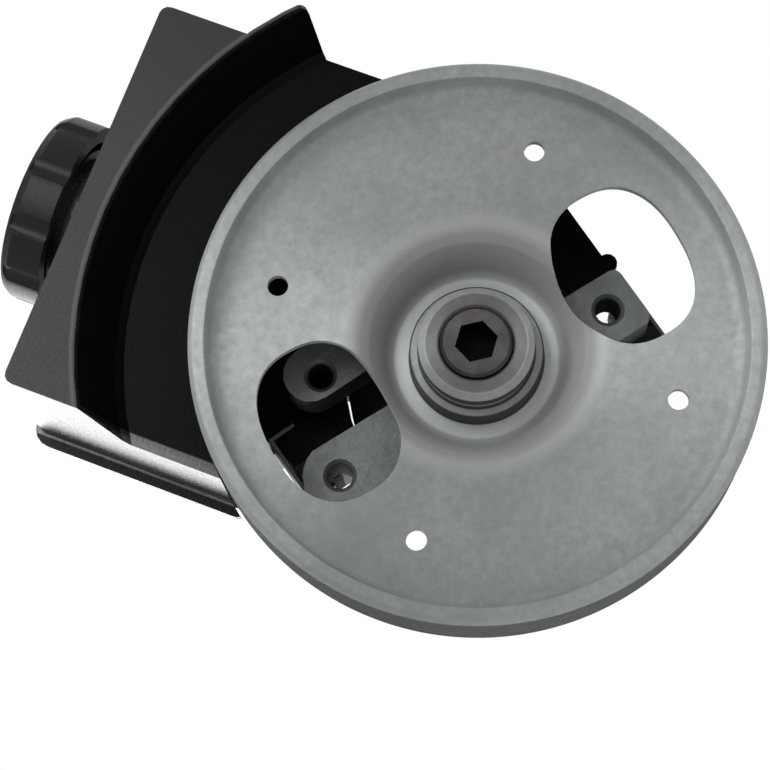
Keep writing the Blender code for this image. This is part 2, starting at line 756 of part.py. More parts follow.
def make_pump_housing():
    rear = BODY_REAR_Y
    body_profile = [
        (0.0, BOSS_FRONT_Y),
        (BOSS_RADIUS, BOSS_FRONT_Y),
        (BOSS_RADIUS + 1.0 * MM, BODY_FRONT_Y),
        (BODY_NECK_RADIUS - 1.0 * MM, BODY_FRONT_Y),
        (BODY_NECK_RADIUS, BODY_NECK_Y),
        (BODY_RADIUS, BODY_SHOULDER_Y),
        (BODY_RADIUS, rear - 0.8 * MM),
        (BODY_RADIUS - 0.8 * MM, rear),
        (0.0, rear),
    ]
    housing = turned("pump_housing", body_profile, FINE, closed=False)
    join(housing, prism("bar", bar_outline(), -EAR_THICKNESS, -SEAT_PAD_HEIGHT))
    join(housing, prism("arm", upper_arm_outline(), -EAR_THICKNESS, -SEAT_PAD_HEIGHT))
    join(housing, *seat_pads())
    join(housing, cylinder("tower", TOWER_RADIUS, TOWER_END_Z, -25 * MM, "Z", 24, (VALVE_X, VALVE_Y)))
    join(housing, cylinder("inlet", INLET_BOSS_RADIUS, 25 * MM, INLET_BOSS_TOP_Z, "Z", 24, (0, SPIGOT_Y)))
    for u_low, u_high, v_low in housing_feet():
        foot = arm_block("foot", u_low, u_high, v_low, v_low + FOOT_HEIGHT, FOOT_FRONT_Y, FOOT_REAR_Y)
        join(housing, foot)
    snap = CHAMBER_RADIUS + SNAP_GROOVE_DEPTH
    chamfer = 1.0 * MM
    bore_profile = [
        (0.0, -EAR_THICKNESS - 5 * MM),
        (SEAL_BORE_RADIUS + chamfer, -EAR_THICKNESS - 5 * MM),
        (SEAL_BORE_RADIUS + chamfer, -EAR_THICKNESS),
        (SEAL_BORE_RADIUS, -EAR_THICKNESS + chamfer),
        (SEAL_BORE_RADIUS, SEAL_SEAT_Y),
        (SHAFT_RADIUS + BUSH_WALL + 2 * SEAT_GAP, SEAL_SEAT_Y),
        (SHAFT_RADIUS + BUSH_WALL + 2 * SEAT_GAP, CHAMBER_FLOOR_Y),
        (CHAMBER_RADIUS, CHAMBER_FLOOR_Y),
        (CHAMBER_RADIUS, SNAP_FRONT_Y - SEAT_GAP),
        (snap, SNAP_FRONT_Y - SEAT_GAP),
        (snap, SNAP_REAR_Y + SEAT_GAP),
        (CHAMBER_RADIUS, SNAP_REAR_Y + SEAT_GAP),
        (CHAMBER_RADIUS, rear + 5 * MM),
        (0.0, rear + 5 * MM),
    ]
    cut(housing, turned("bores", bore_profile, FINE, closed=False))
    for ear in (SIDE_EAR, UPPER_EAR, LOWER_EAR):
        place = on_arm(ear.x, ear.y)
        cut(housing, cylinder("bolt", BOLT_HOLE_RADIUS, -30 * MM, 5 * MM, steps=16, centre=place))
        sink = cone(
            "sink",
            COUNTERSINK_RADIUS + COUNTERSINK_DEPTH,
            COUNTERSINK_RADIUS - COUNTERSINK_DEPTH,
            -EAR_THICKNESS - COUNTERSINK_DEPTH,
            -EAR_THICKNESS + COUNTERSINK_DEPTH,
            steps=16,
            centre=place,
        )
        cut(housing, sink)
    valve = (VALVE_X, VALVE_Y)
    seat = VALVE_BORE_RADIUS + 3.0 * MM
    cut(housing, cylinder("valve_bore", VALVE_BORE_RADIUS, -80 * MM, VALVE_BORE_TOP_Z, "Z", 24, valve))
    cut(housing, cylinder("union_seat", seat, -80 * MM, TOWER_END_Z + 2.4 * MM, "Z", 24, valve))
    cut(housing, cylinder("feed", FEED_HOLE_RADIUS, VALVE_BORE_TOP_Z - 2 * MM, -20 * MM, "Z", 12, valve))
    inlet = (0.0, SPIGOT_Y)
    cut(housing, cylinder("inlet_bore", SPIGOT_RADIUS + SEAT_GAP, 26 * MM, 45 * MM, "Z", 24, inlet))
    seal_room = SPIGOT_RADIUS + SEAT_GAP + 3.0 * MM
    cut(housing, cylinder("seal_room", seal_room, INLET_BOSS_TOP_Z - 2.9 * MM, 45 * MM, "Z", 24, inlet))
    finish(housing, "pump_housing", CAST)


def plate_ports(low, high, turn):
    """Two kidney ports for one pair of quadrants of the cam."""
    tools = []
    for side in (0, 1):
        middle = CAM_AXIS + turn + math.pi * side
        inner, outer = PORT_RADIUS - PORT_WIDTH / 2, PORT_RADIUS + PORT_WIDTH / 2
        start, end = middle - PORT_SPAN / 2, middle + PORT_SPAN / 2
        outline = arc((0, 0), inner, start, end, 6) + arc((0, 0), outer, end, start, 6)
        tools.append(prism("port", outline, low, high))
    return tools


def dowel_places():
    return [
        (DOWEL_CIRCLE * math.cos(CAM_AXIS + a), DOWEL_CIRCLE * math.sin(CAM_AXIS + a)) for a in (0, math.pi)
    ]


def dowel_holes(low, high):
    hole = DOWEL_RADIUS + SEAT_GAP
    return [cylinder("dowel_hole", hole, low, high, steps=12, centre=place) for place in dowel_places()]


def make_thrust_plate():
    front, rear = PLATE_FRONT_Y, PLATE_FRONT_Y + THRUST_PLATE_THICKNESS
    bore = SPLINE_RADIUS + 2 * SEAT_GAP
    profile = [(bore, front), (GROUP_RADIUS, front), (GROUP_RADIUS, rear), (bore, rear)]
    plate = turned("thrust_plate", profile, ROUND)
    cut(plate, *plate_ports(front - 2 * MM, rear + 2 * MM, math.radians(45)))
    cut(plate, *dowel_holes(front + 1.5 * MM, rear + 2 * MM))
    finish(plate, "thrust_plate", DARK_STEEL)


def cam_radius(angle):
    """Twice per turn the inner wall moves from its short radius to its long one."""
    return CAM_MEAN_RADIUS - CAM_LIFT * math.cos(2 * (angle - CAM_AXIS))


def make_cam_ring():
    ring = cylinder("cam_ring", GROUP_RADIUS, RING_FRONT_Y, RING_REAR_Y, steps=ROUND)
    inner = []
    for i in range(CAM_POINTS):
        angle = 2 * math.pi * i / CAM_POINTS
        inner.append((cam_radius(angle) * math.cos(angle), cam_radius(angle) * math.sin(angle)))
    cut(ring, prism("cam", inner, RING_FRONT_Y - 2 * MM, RING_REAR_Y + 2 * MM))
    cut(ring, *dowel_holes(RING_FRONT_Y - 2 * MM, RING_REAR_Y + 2 * MM))
    finish(ring, "cam_ring", STEEL)


def vane_angle(i):
    return ROTOR_TURN + 2 * math.pi * i / VANE_COUNT


def slot_outline(angle):
    """A slot for one vane, with a round bulb at its bottom, as (x, z) points."""
    half = VANE_THICKNESS / 2 + SLOT_GAP
    bottom = VANE_ROOT_RADIUS - VANE_SLOT_SPARE - SEAT_GAP
    start = math.asin(half / SLOT_BULB_RADIUS)
    points = arc((bottom + SLOT_BULB_RADIUS, 0), SLOT_BULB_RADIUS, start, 2 * math.pi - start, 8)
    points += [(ROTOR_RADIUS + 2 * MM, -half), (ROTOR_RADIUS + 2 * MM, half)]
    return turned_about_shaft(points, angle)


def make_rotor():
    rotor = cylinder("rotor", ROTOR_RADIUS, ROTOR_FRONT_Y, ROTOR_REAR_Y, steps=60)
    reach = (ROTOR_FRONT_Y - 2 * MM, ROTOR_REAR_Y + 2 * MM)
    cut(rotor, prism("spline_bore", spline_outline(SEAT_GAP), *reach))
    for i in range(VANE_COUNT):
        cut(rotor, prism("slot", slot_outline(vane_angle(i)), *reach))
    finish(rotor, "rotor", STEEL, SHAFT_AXIS)


def make_vanes():
    """Flat vanes with a rounded tip, at rest with the tip just inside the cam's short radius."""
    half = VANE_THICKNESS / 2
    tip = VANE_TIP_RADIUS
    for i in range(VANE_COUNT):
        crown = [(tip - 0.5 * MM, -half), (tip, -half / 3), (tip, half / 3), (tip - 0.5 * MM, half)]
        outline = [(VANE_ROOT_RADIUS, half), (VANE_ROOT_RADIUS, -half), *crown]
        vane = prism("vane", turned_about_shaft(outline, vane_angle(i)), ROTOR_FRONT_Y, ROTOR_REAR_Y)
        finish(vane, f"vane_{i + 1:02d}", DARK_STEEL, SHAFT_AXIS)


def snap_ring(name, inner, outer, front, rear, gap_angle, gap_half):
    profile = [(inner, front), (outer, front), (outer, rear), (inner, rear)]
    ring = turned(name, profile, ROUND)
    reach = outer + 5 * MM
    opening = [(inner - 2 * MM, -gap_half), (reach, -gap_half), (reach, gap_half), (inner - 2 * MM, gap_half)]
    opening = turned_about_shaft(opening, gap_angle)
    return cut(ring, prism("opening", opening, front - 2 * MM, rear + 2 * MM))


def make_rotor_retaining_ring():
    front = ROTOR_REAR_Y + 2 * SEAT_GAP
    inner = SPLINE_RADIUS - SPLINE_TOOTH_HEIGHT - 1.0 * MM + SEAT_GAP
    ring = snap_ring("clip", inner, inner + 3.4 * MM, front, front + SNAP_RING_THICKNESS, 1.2, 2.2 * MM)
    finish(ring, "rotor_retaining_ring", DARK_STEEL, SHAFT_AXIS)


def make_pressure_plate():
    front, rear = PRESSURE_FRONT_Y, PRESSURE_REAR_Y
    bore = SPLINE_RADIUS + 3.2 * MM
    groove = GROUP_RADIUS - 2 * O_RING_RADIUS - 2 * SEAT_GAP
    groove_front = front + 2.0 * MM
    groove_rear = groove_front + 2 * O_RING_RADIUS + 2 * SEAT_GAP
    profile = [
        (bore, front),
        (GROUP_RADIUS, front),
        (GROUP_RADIUS, groove_front),
        (groove, groove_front),
        (groove, groove_rear),
        (GROUP_RADIUS, groove_rear),
        (GROUP_RADIUS, rear),
        (bore, rear),
    ]
    plate = turned("pressure_plate", profile, ROUND)
    cut(plate, *plate_ports(front - 2 * MM, rear + 2 * MM, math.radians(135)))
    cut(plate, *dowel_holes(front - 2 * MM, front + DOWEL_DEPTH))
    finish(plate, "pressure_plate", DARK_STEEL)
    seal = o_ring("seal", groove + O_RING_RADIUS + SEAT_GAP, O_RING_RADIUS, (groove_front + groove_rear) / 2)
    finish(seal, "pressure_plate_seal", RUBBER, smooth=60)


def make_dowel_pins():
    front = PLATE_FRONT_Y + 1.5 * MM + SEAT_GAP
    rear = PRESSURE_FRONT_Y + DOWEL_DEPTH - SEAT_GAP
    for i, place in enumerate(dowel_places()):
        pin = cylinder("pin", DOWEL_RADIUS, front, rear, steps=12, centre=place)
        finish(pin, f"dowel_pin_{i + 1}", STEEL)


def make_plate_spring():
    low, high = PRESSURE_REAR_Y + SEAT_GAP, COVER_FRONT_Y - SEAT_GAP
    spring = wire_coil("spring", PLATE_SPRING_RADIUS, PLATE_SPRING_WIRE, 1.5, low, high, "Y", (0, 0))
    finish(spring, "pressure_plate_spring", STEEL, smooth=60)


def make_end_cover():
    front, rear = COVER_FRONT_Y, COVER_REAR_Y
    groove = GROUP_RADIUS - 2 * O_RING_RADIUS - 2 * SEAT_GAP
    groove_front = front + 1.1 * MM
    groove_rear = groove_front + 2 * O_RING_RADIUS + 2 * SEAT_GAP
    profile = [
        (0.0, front + 1.6 * MM),
        (20.0 * MM, front + 1.6 * MM),
        (21.0 * MM, front),
        (GROUP_RADIUS, front),
        (GROUP_RADIUS, groove_front),
        (groove, groove_front),
        (groove, groove_rear),
        (GROUP_RADIUS, groove_rear),
        (GROUP_RADIUS, rear),
        (18.0 * MM, rear),
        (16.0 * MM, rear - 1.2 * MM),
        (0.0, rear - 1.2 * MM),
    ]
    finish(turned("cover", profile, ROUND, closed=False), "end_cover", STEEL)
    seal = o_ring("seal", groove + O_RING_RADIUS + SEAT_GAP, O_RING_RADIUS, (groove_front + groove_rear) / 2)
    finish(seal, "end_cover_seal", RUBBER, smooth=60)
    outer = CHAMBER_RADIUS + SNAP_GROOVE_DEPTH - SEAT_GAP
    ring = snap_ring("ring", outer - SNAP_RING_WIDTH, outer, SNAP_FRONT_Y, SNAP_REAR_Y, 2.4, 5 * MM)
    finish(ring, "end_cover_retaining_ring", DARK_STEEL)


def make_flow_valve():
    radius = VALVE_BORE_RADIUS - SEAT_GAP
    spool_top = VALVE_BORE_TOP_Z - VALVE_SPRING_HEIGHT - 2 * SEAT_GAP
    spool_end = spool_top - SPOOL_LENGTH
    land, waist = 4.0 * MM, radius - SPOOL_GROOVE_DEPTH
    profile = [
        (0.0, spool_top),
        (radius - 0.5 * MM, spool_top),
        (radius, spool_top - 0.5 * MM),
        (radius, spool_top - land),
        (waist, spool_top - land),
        (waist, spool_end + land),
        (radius, spool_end + land),
        (radius, spool_end + 0.5 * MM),
        (radius - 0.5 * MM, spool_end),
        (0.0, spool_end),
    ]
    spool = turned("spool", profile, 24, "Z", closed=False)
    moved(spool, Matrix.Translation((VALVE_X, VALVE_Y, 0.0)))
    finish(spool, "valve_spool", STEEL, VALVE_AXIS)
    low, high = spool_top + SEAT_GAP, VALVE_BORE_TOP_Z - SEAT_GAP
    spring = wire_coil(
        "spring", VALVE_SPRING_RADIUS, VALVE_SPRING_WIRE, 4, low, high, "Z", (VALVE_X, VALVE_Y)
    )
    finish(spring, "valve_spring", DARK_STEEL, VALVE_AXIS, smooth=60)
    return spool_end


def make_outlet_union(spool_end):
    top = spool_end - SEAT_GAP
    head_top = TOWER_END_Z - SEAT_GAP
    head_end = head_top - UNION_HEAD
    hexagon = [(VALVE_X + x, VALVE_Y + y) for x, y in regular_outline(UNION_ACROSS_FLATS, 6)]
    union = prism("union", hexagon, head_end, head_top, "Z")
    stem = VALVE_BORE_RADIUS - SEAT_GAP
    centre = (VALVE_X, VALVE_Y)
    join(union, cylinder("stem", stem, head_top - 1 * MM, top, "Z", 24, centre))
    cut(union, cylinder("bore", UNION_BORE_RADIUS, head_end - 2 * MM, top + 2 * MM, "Z", 16, centre))
    flare = UNION_BORE_RADIUS + 2.0 * MM
    cut(union, cone("flare", flare + 1 * MM, UNION_BORE_RADIUS, head_end - 1 * MM, head_end + 2 * MM, "Z", 16, centre))
    finish(union, "outlet_union", STEEL)
    seal = o_ring(
        "seal", stem + SEAT_GAP + O_RING_RADIUS + 0.2 * MM, O_RING_RADIUS, TOWER_END_Z + 1.25 * MM, "Z", centre, 24
    )
    finish(seal, "outlet_union_seal", RUBBER, smooth=60)


def clip_places():
    """Each clip's back, the side that it opens to, and its lower edge, in arm coordinates."""
    return (
        ("left", LEFT_CLIP_U, 1, LEFT_CLIP_V),
        ("right", RIGHT_CLIP_U, -1, RIGHT_CLIP_V),
    )


CLIP_HEIGHT = 2 * FOOT_HEIGHT + 3 * SEAT_GAP + 2 * CLIP_SHEET


def foot_span(back, side):
    """A foot's outer end behind a clip's back, and its inner end inside the housing."""
    outer = back + side * (CLIP_SHEET + SEAT_GAP)
    inner = -side * 24.0 * MM
    return min(outer, inner), max(outer, inner)


def housing_feet():
    """The lower foot of each pair belongs to the housing."""
    return [(*foot_span(back, side), low + CLIP_SHEET + SEAT_GAP) for _, back, side, low in clip_places()]


def make_clips():
    for name, back, side, low in clip_places():
        high = low + CLIP_HEIGHT
        inside = back + side * CLIP_SHEET
        tip = back + side * (CLIP_SHEET + CLIP_LEG)
        outline = [
            (back, low),
            (tip, low),
            (tip, low + CLIP_SHEET),
            (inside, low + CLIP_SHEET),
            (inside, high - CLIP_SHEET),
            (tip, high - CLIP_SHEET),
            (tip, high),
            (back, high),
        ]
        outline = [on_arm(u, v) for u, v in outline]
        clip = prism("clip", outline, CLIP_FRONT_Y, CLIP_FRONT_Y + CLIP_WIDTH)
        finish(clip, f"retaining_clip_{name}", STEEL)


def tank_block(name, inset):
    """The reservoir's plain tapered body, or with an inset the room inside it."""
    sections = []
    for i, (y, left, right, top) in enumerate(TANK_SIDES):
        if i == 0:
            y += inset
        if i == len(TANK_SIDES) - 1:
            y -= inset
        outline = rounded_outline(
            left + inset, right - inset, TANK_BOTTOM_Z + inset, top - inset, TANK_CORNER
        )
        sections.append([(x, y, z) for x, z in outline])
    tank = loft(name, sections)
    low = (-2 * RECESS_MOUTH_RADIUS, 2 * TANK_FRONT_Y, 0.0)
    high = (TANK_STEP_X + inset, 2 * TANK_REAR_Y, TANK_STEP_Z + inset)
    return cut(tank, block("step", low, high))


def shoulder_block(name, inset):
    """The wider stretch behind the recess floor, on the +X side."""
    low = (20 * MM, TANK_FLOOR_Y + inset, TANK_BOTTOM_Z + 1 * MM + inset)
    high = (SHOULDER_X - inset, SHOULDER_REAR_Y - inset, SHOULDER_TOP_Z - inset)
    return block(name, low, high)


def recess_profile(inset):
    """Cone round the pulley that runs down to a flat floor, with a fillet between them."""
    front, floor = TANK_FRONT_Y, TANK_FLOOR_Y + inset
    mouth, foot = RECESS_MOUTH_RADIUS + inset, RECESS_FOOT_RADIUS + inset
    slope = (mouth - foot) / (TANK_FLOOR_Y - TANK_FRONT_Y)
    ahead = 10 * MM
    return [
        (0.0, front - ahead),
        (mouth + slope * ahead, front - ahead),
        (foot + 1.4 * MM, floor - RECESS_FILLET),
        (foot + 0.2 * MM, floor - 0.35 * RECESS_FILLET),
        (foot - 2.0 * MM, floor),
        (0.0, floor),
    ]


def carve_tank(tank, inset):
    """Take away the pulley's recess, the drop behind the pulley, the saddle and the clip's pocket."""
    ahead = TANK_FRONT_Y - 20 * MM
    behind = TANK_REAR_Y + 20 * MM
    cut(tank, turned("recess", recess_profile(inset), 72, closed=False))
    cut(tank, cylinder("drop", DROP_RADIUS + inset, ahead, DROP_FLOOR_Y + inset, steps=60))
    cut(tank, cylinder("saddle", SADDLE_RADIUS + inset, ahead, behind, steps=FINE))
    grow = inset + SEAT_GAP
    low, high = LEFT_CLIP_V, LEFT_CLIP_V + CLIP_HEIGHT
    outer, inner = LEFT_CLIP_U - 1.5 * MM - grow, LEFT_CLIP_U + CLIP_SHEET + CLIP_LEG
    pocket_rear = CLIP_FRONT_Y + CLIP_WIDTH + 1 * MM + grow
    cut(tank, arm_block("pocket", outer, inner + grow, low - 20 * MM, high + grow, ahead, pocket_rear))
    foot_top = low + CLIP_SHEET + SEAT_GAP + FOOT_HEIGHT
    foot_inner = -20 * MM
    foot_rear = FOOT_REAR_Y + 1 * MM + grow
    cut(tank, arm_block("foot_room", outer, foot_inner, low - 20 * MM, foot_top + grow, ahead, foot_rear))
    return tank


def horn():
    """The recess wall where it runs on past the reservoir's +X side, up to its rounded end."""
    profile = [
        (PULLEY_RADIUS, TANK_FRONT_Y),
        (RECESS_MOUTH_RADIUS + HORN_EDGE, TANK_FRONT_Y),
        (RECESS_FOOT_RADIUS + HORN_WALL, TANK_FLOOR_Y),
        (RECESS_FOOT_RADIUS + HORN_WALL - 1 * MM, TANK_FLOOR_Y + WALL),
        (PULLEY_RADIUS, TANK_FLOOR_Y + WALL),
    ]
    ring = turned("horn", profile, 72)
    length = 0.3 * RECESS_MOUTH_RADIUS
    front, rear = TANK_FRONT_Y - 0.2 * MM, TANK_FLOOR_Y + WALL + HORN_CORNER
    end = prism("end", rounded_outline(-length, 0.0, front, rear, HORN_CORNER, 5), 0.0, 1.5 * RECESS_MOUTH_RADIUS, "Z")
    moved(end, Matrix.Rotation(math.pi / 2 - RECESS_END_ANGLE, 4, "Y"))
    return keep(ring, end)


def flange():
    """The flange along the weld seam."""
    y, left, right, top = TANK_SIDES[2]
    left, right, top = left - FLANGE_REACH, max(right, SHOULDER_X) + FLANGE_REACH, top + FLANGE_RISE
    step, bottom = TANK_STEP_Z - FLANGE_RISE, TANK_BOTTOM_Z + 1.7 * MM
    quarter, foot, corner = math.pi / 2, FLANGE_FOOT_CORNER, FLANGE_CORNER
    outline = [
        *arc((left + foot, step + foot), foot, 2 * quarter, 3 * quarter, 4),
        (TANK_STEP_X + 3 * MM, step),
        (TANK_STEP_X + 3 * MM, bottom),
        *arc((right - corner, bottom + corner), corner, 3 * quarter, 4 * quarter, 4),
        *arc((right - corner, top - corner), corner, 0.0, quarter, 4),
        *arc((left + corner, top - corner), corner, quarter, 2 * quarter, 4),
    ]
    return prism("flange", outline, y - FLANGE_HALF, y + FLANGE_HALF)


def rear_ribs():
    """Upright stiffening ribs on the reservoir's flat back."""
    low_z, high_z = TANK_STEP_Z + RIB_END_MARGIN, TANK_SIDES[-1][3] - RIB_END_MARGIN
    near, far = TANK_REAR_Y - WALL / 2, TANK_REAR_Y + RIB_HEIGHT
    return [
        block("rib", (x - RIB_HALF_WIDTH, near, low_z), (x + RIB_HALF_WIDTH, far, high_z)) for x in RIB_PLACES
    ]


def skirt():
    """The side wall that runs down the housing's +X side to the reservoir's lower foot."""
    back, side, low = RIGHT_CLIP_U, -1, RIGHT_CLIP_V
    flank = back + side * (CLIP_SHEET + SEAT_GAP)
    foot_low = low + CLIP_SHEET + 2 * SEAT_GAP + FOOT_HEIGHT
    clip_seat = foot_low + FOOT_HEIGHT
    foot_high = clip_seat + SEAT_GAP
    inner = flank - SKIRT_WALL
    outline = [
        on_arm(flank, foot_low),
        on_arm(flank, 27 * MM),
        (SHOULDER_X - 1 * MM, 14 * MM),
        (SHOULDER_X - 1 * MM, TANK_BOTTOM_Z + 8 * MM),
        (20 * MM, TANK_BOTTOM_Z + 8 * MM),
        on_arm(30 * MM, 14 * MM),
        on_arm(36 * MM, 5 * MM),
        on_arm(inner, 5 * MM),
        on_arm(inner, foot_high),
        on_arm(inner - 4.5 * MM, foot_high),
        on_arm(inner - 4.5 * MM, foot_low),
    ]
    wall = prism("skirt", outline, FOOT_FRONT_Y, FOOT_REAR_Y)
    tab = cylinder("tab", 2.8 * MM, FOOT_FRONT_Y, FOOT_REAR_Y - 6 * MM, steps=12, centre=on_arm(flank, 7 * MM))
    join(wall, tab)
    slot_high = low + CLIP_HEIGHT + SEAT_GAP
    slot = arm_block(
        "slot",
        back + side * (CLIP_SHEET + CLIP_LEG) - SEAT_GAP,
        flank + 2 * MM,
        clip_seat,
        slot_high,
        CLIP_FRONT_Y - SEAT_GAP,
        CLIP_FRONT_Y + CLIP_WIDTH + SEAT_GAP,
    )
    return cut(wall, slot)


def left_foot():
    low, high = foot_span(LEFT_CLIP_U, 1)
    foot_low = LEFT_CLIP_V + CLIP_SHEET + 2 * SEAT_GAP + FOOT_HEIGHT
    return arm_block("foot", low, high, foot_low, foot_low + FOOT_HEIGHT, FOOT_FRONT_Y, FOOT_REAR_Y)


def make_reservoir():
    outer = tank_block("tank", 0.0)
    join(outer, shoulder_block("shoulder", 0.0), horn(), flange())
    carve_tank(outer, 0.0)
    join(outer, *rear_ribs())
    body_room = cylinder("body_room", BODY_RADIUS + 2 * SEAT_GAP, 0.0, 2 * TANK_REAR_Y, steps=FINE)
    legs = join(skirt(), left_foot())
    join(outer, cut(legs, body_room))
    neck = (0.0, CAP_Y)
    neck_low = TANK_TOP_Z - NECK_ROOT
    join(outer, cylinder("neck", NECK_RADIUS, neck_low, NECK_TOP_Z, "Z", ROUND, neck))
    spigot = (0.0, SPIGOT_Y)
    join(outer, cylinder("spigot", SPIGOT_RADIUS, SPIGOT_END_Z, TANK_BOTTOM_Z + 6 * MM, "Z", 24, spigot))
    tube_place = (RETURN_TUBE_X, RETURN_TUBE_Z)
    tube_end = TANK_REAR_Y + RETURN_TUBE_LENGTH
    near = TANK_REAR_Y - 0.7 * WALL
    join(outer, cylinder("return", RETURN_TUBE_RADIUS, near, tube_end, steps=20, centre=tube_place))
    barb = cone(
        "barb",
        RETURN_TUBE_RADIUS + 1 * MM,
        RETURN_TUBE_RADIUS - 0.4 * MM,
        tube_end - 4 * MM,
        tube_end - 0.5 * MM,
        steps=20,
        centre=tube_place,
    )
    join(outer, barb)
    neck_bore = cylinder(
        "neck_bore", NECK_RADIUS - NECK_WALL, neck_low - 1 * MM, NECK_TOP_Z + 5 * MM, "Z", ROUND, neck
    )
    spigot_bore = cylinder(
        "spigot_bore", SPIGOT_RADIUS - TUBE_WALL, SPIGOT_END_Z - 5 * MM, SPIGOT_BORE_TOP_Z, "Z", 20, spigot
    )
    return_bore = cylinder(
        "return_bore",
        RETURN_TUBE_RADIUS - TUBE_WALL,
        TANK_REAR_Y - 2 * WALL,
        tube_end + 5 * MM,
        steps=16,
        centre=tube_place,
    )
    room = tank_block("room", WALL)
    join(room, shoulder_block("shoulder_room", WALL))
    carve_tank(room, WALL)
    cut(outer, join(room, neck_bore, spigot_bore, return_bore))
    rear = outer.copy()
    rear.data = outer.data.copy()
    CUTTERS.objects.link(rear)
    far = 2 * RECESS_MOUTH_RADIUS
    cut(outer, block("behind", (-far, SEAM_Y - SEAT_GAP / 2, -far), (far, far, far)))
    cut(rear, block("ahead", (-far, -far, -far), (far, SEAM_Y + SEAT_GAP / 2, far)))
    finish(outer, "reservoir_front", PLASTIC)
    finish(rear, "reservoir_rear", PLASTIC)
    seal = o_ring(
        "seal", SPIGOT_RADIUS + 2 * SEAT_GAP + 1.1 * MM, 1.1 * MM, INLET_BOSS_TOP_Z - 1.5 * MM, "Z", spigot, 24
    )
    finish(seal, "reservoir_seal", RUBBER, smooth=60)


def make_cap():
    seal_low = NECK_TOP_Z + SEAT_GAP
    ceiling = seal_low + CAP_SEAL_THICKNESS + SEAT_GAP
    thread = NECK_RADIUS + SEAT_GAP
    collar = thread + 2.4 * MM
    skirt_inner = CAP_RADIUS - CAP_SKIN - FLUTE_DEPTH
    profile = [
        (0.0, CAP_TOP_Z),
        (CAP_RADIUS - 4.4 * MM, CAP_TOP_Z),
        (CAP_RADIUS - 1.4 * MM, CAP_TOP_Z - 0.9 * MM),
        (CAP_RADIUS, CAP_TOP_Z - 3.2 * MM),
        (CAP_RADIUS, CAP_BOTTOM_Z),
        (skirt_inner, CAP_BOTTOM_Z),
        (skirt_inner, CAP_TOP_Z - 3.6 * MM),
        (collar, CAP_TOP_Z - 3.6 * MM),
        (collar, CAP_BOTTOM_Z + 0.5 * MM),
        (thread, CAP_BOTTOM_Z + 0.5 * MM),
        (thread, ceiling),
        (0.0, ceiling),
    ]
    cap = turned("cap", profile, 40, "Z", closed=False)
    reach = CAP_RADIUS + FLUTE_RADIUS - FLUTE_DEPTH
    for i in range(CAP_FLUTES):
        angle = math.radians(-90 + 9) + 2 * math.pi * i / CAP_FLUTES
        place = (reach * math.cos(angle), reach * math.sin(angle))
        cut(cap, cylinder("flute", FLUTE_RADIUS, CAP_BOTTOM_Z - 2 * MM, CAP_TOP_Z - 1.8 * MM, "Z", 16, place))
    moved(cap, Matrix.Translation((0.0, CAP_Y, 0.0)))
    finish(cap, "reservoir_cap", PLASTIC, CAP_AXIS)
    inner, outer = NECK_RADIUS - NECK_WALL - 1.6 * MM, NECK_RADIUS - 0.4 * MM
    top = seal_low + CAP_SEAL_THICKNESS
    seal = turned("seal", [(outer, top), (outer, seal_low), (inner, seal_low), (inner, top)], ROUND, "Z")
    moved(seal, Matrix.Translation((0.0, CAP_Y, 0.0)))
    finish(seal, "cap_seal", RUBBER, CAP_AXIS)
    head_top = ceiling - SEAT_GAP
    stick = cylinder("stick", DIPSTICK_HEAD_RADIUS, head_top - 1.6 * MM, head_top, "Z", 20, (0.0, CAP_Y))
    half, thin = DIPSTICK_WIDTH / 2, DIPSTICK_THICKNESS / 2
    outline = [(-half, -thin), (half, -thin), (half, thin), (-half, thin)]
    outline = [(x, CAP_Y + y) for x, y in outline]
    join(stick, prism("blade", outline, DIPSTICK_END_Z, head_top - 1 * MM, "Z"))
    finish(stick, "dipstick", PLASTIC, CAP_AXIS)


make_pulley()
make_drive_shaft()
make_shaft_seal()
make_shaft_bush()
make_pump_housing()
make_thrust_plate()
make_cam_ring()
make_rotor()
make_vanes()
make_rotor_retaining_ring()
make_pressure_plate()
make_dowel_pins()
make_plate_spring()
make_end_cover()
make_outlet_union(make_flow_valve())
make_clips()
make_reservoir()
make_cap()
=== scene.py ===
"""Looks for the power steering pump: fine surfaces, materials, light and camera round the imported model."""

import json
import math

import bmesh
import bpy
from mathutils import Matrix, Vector

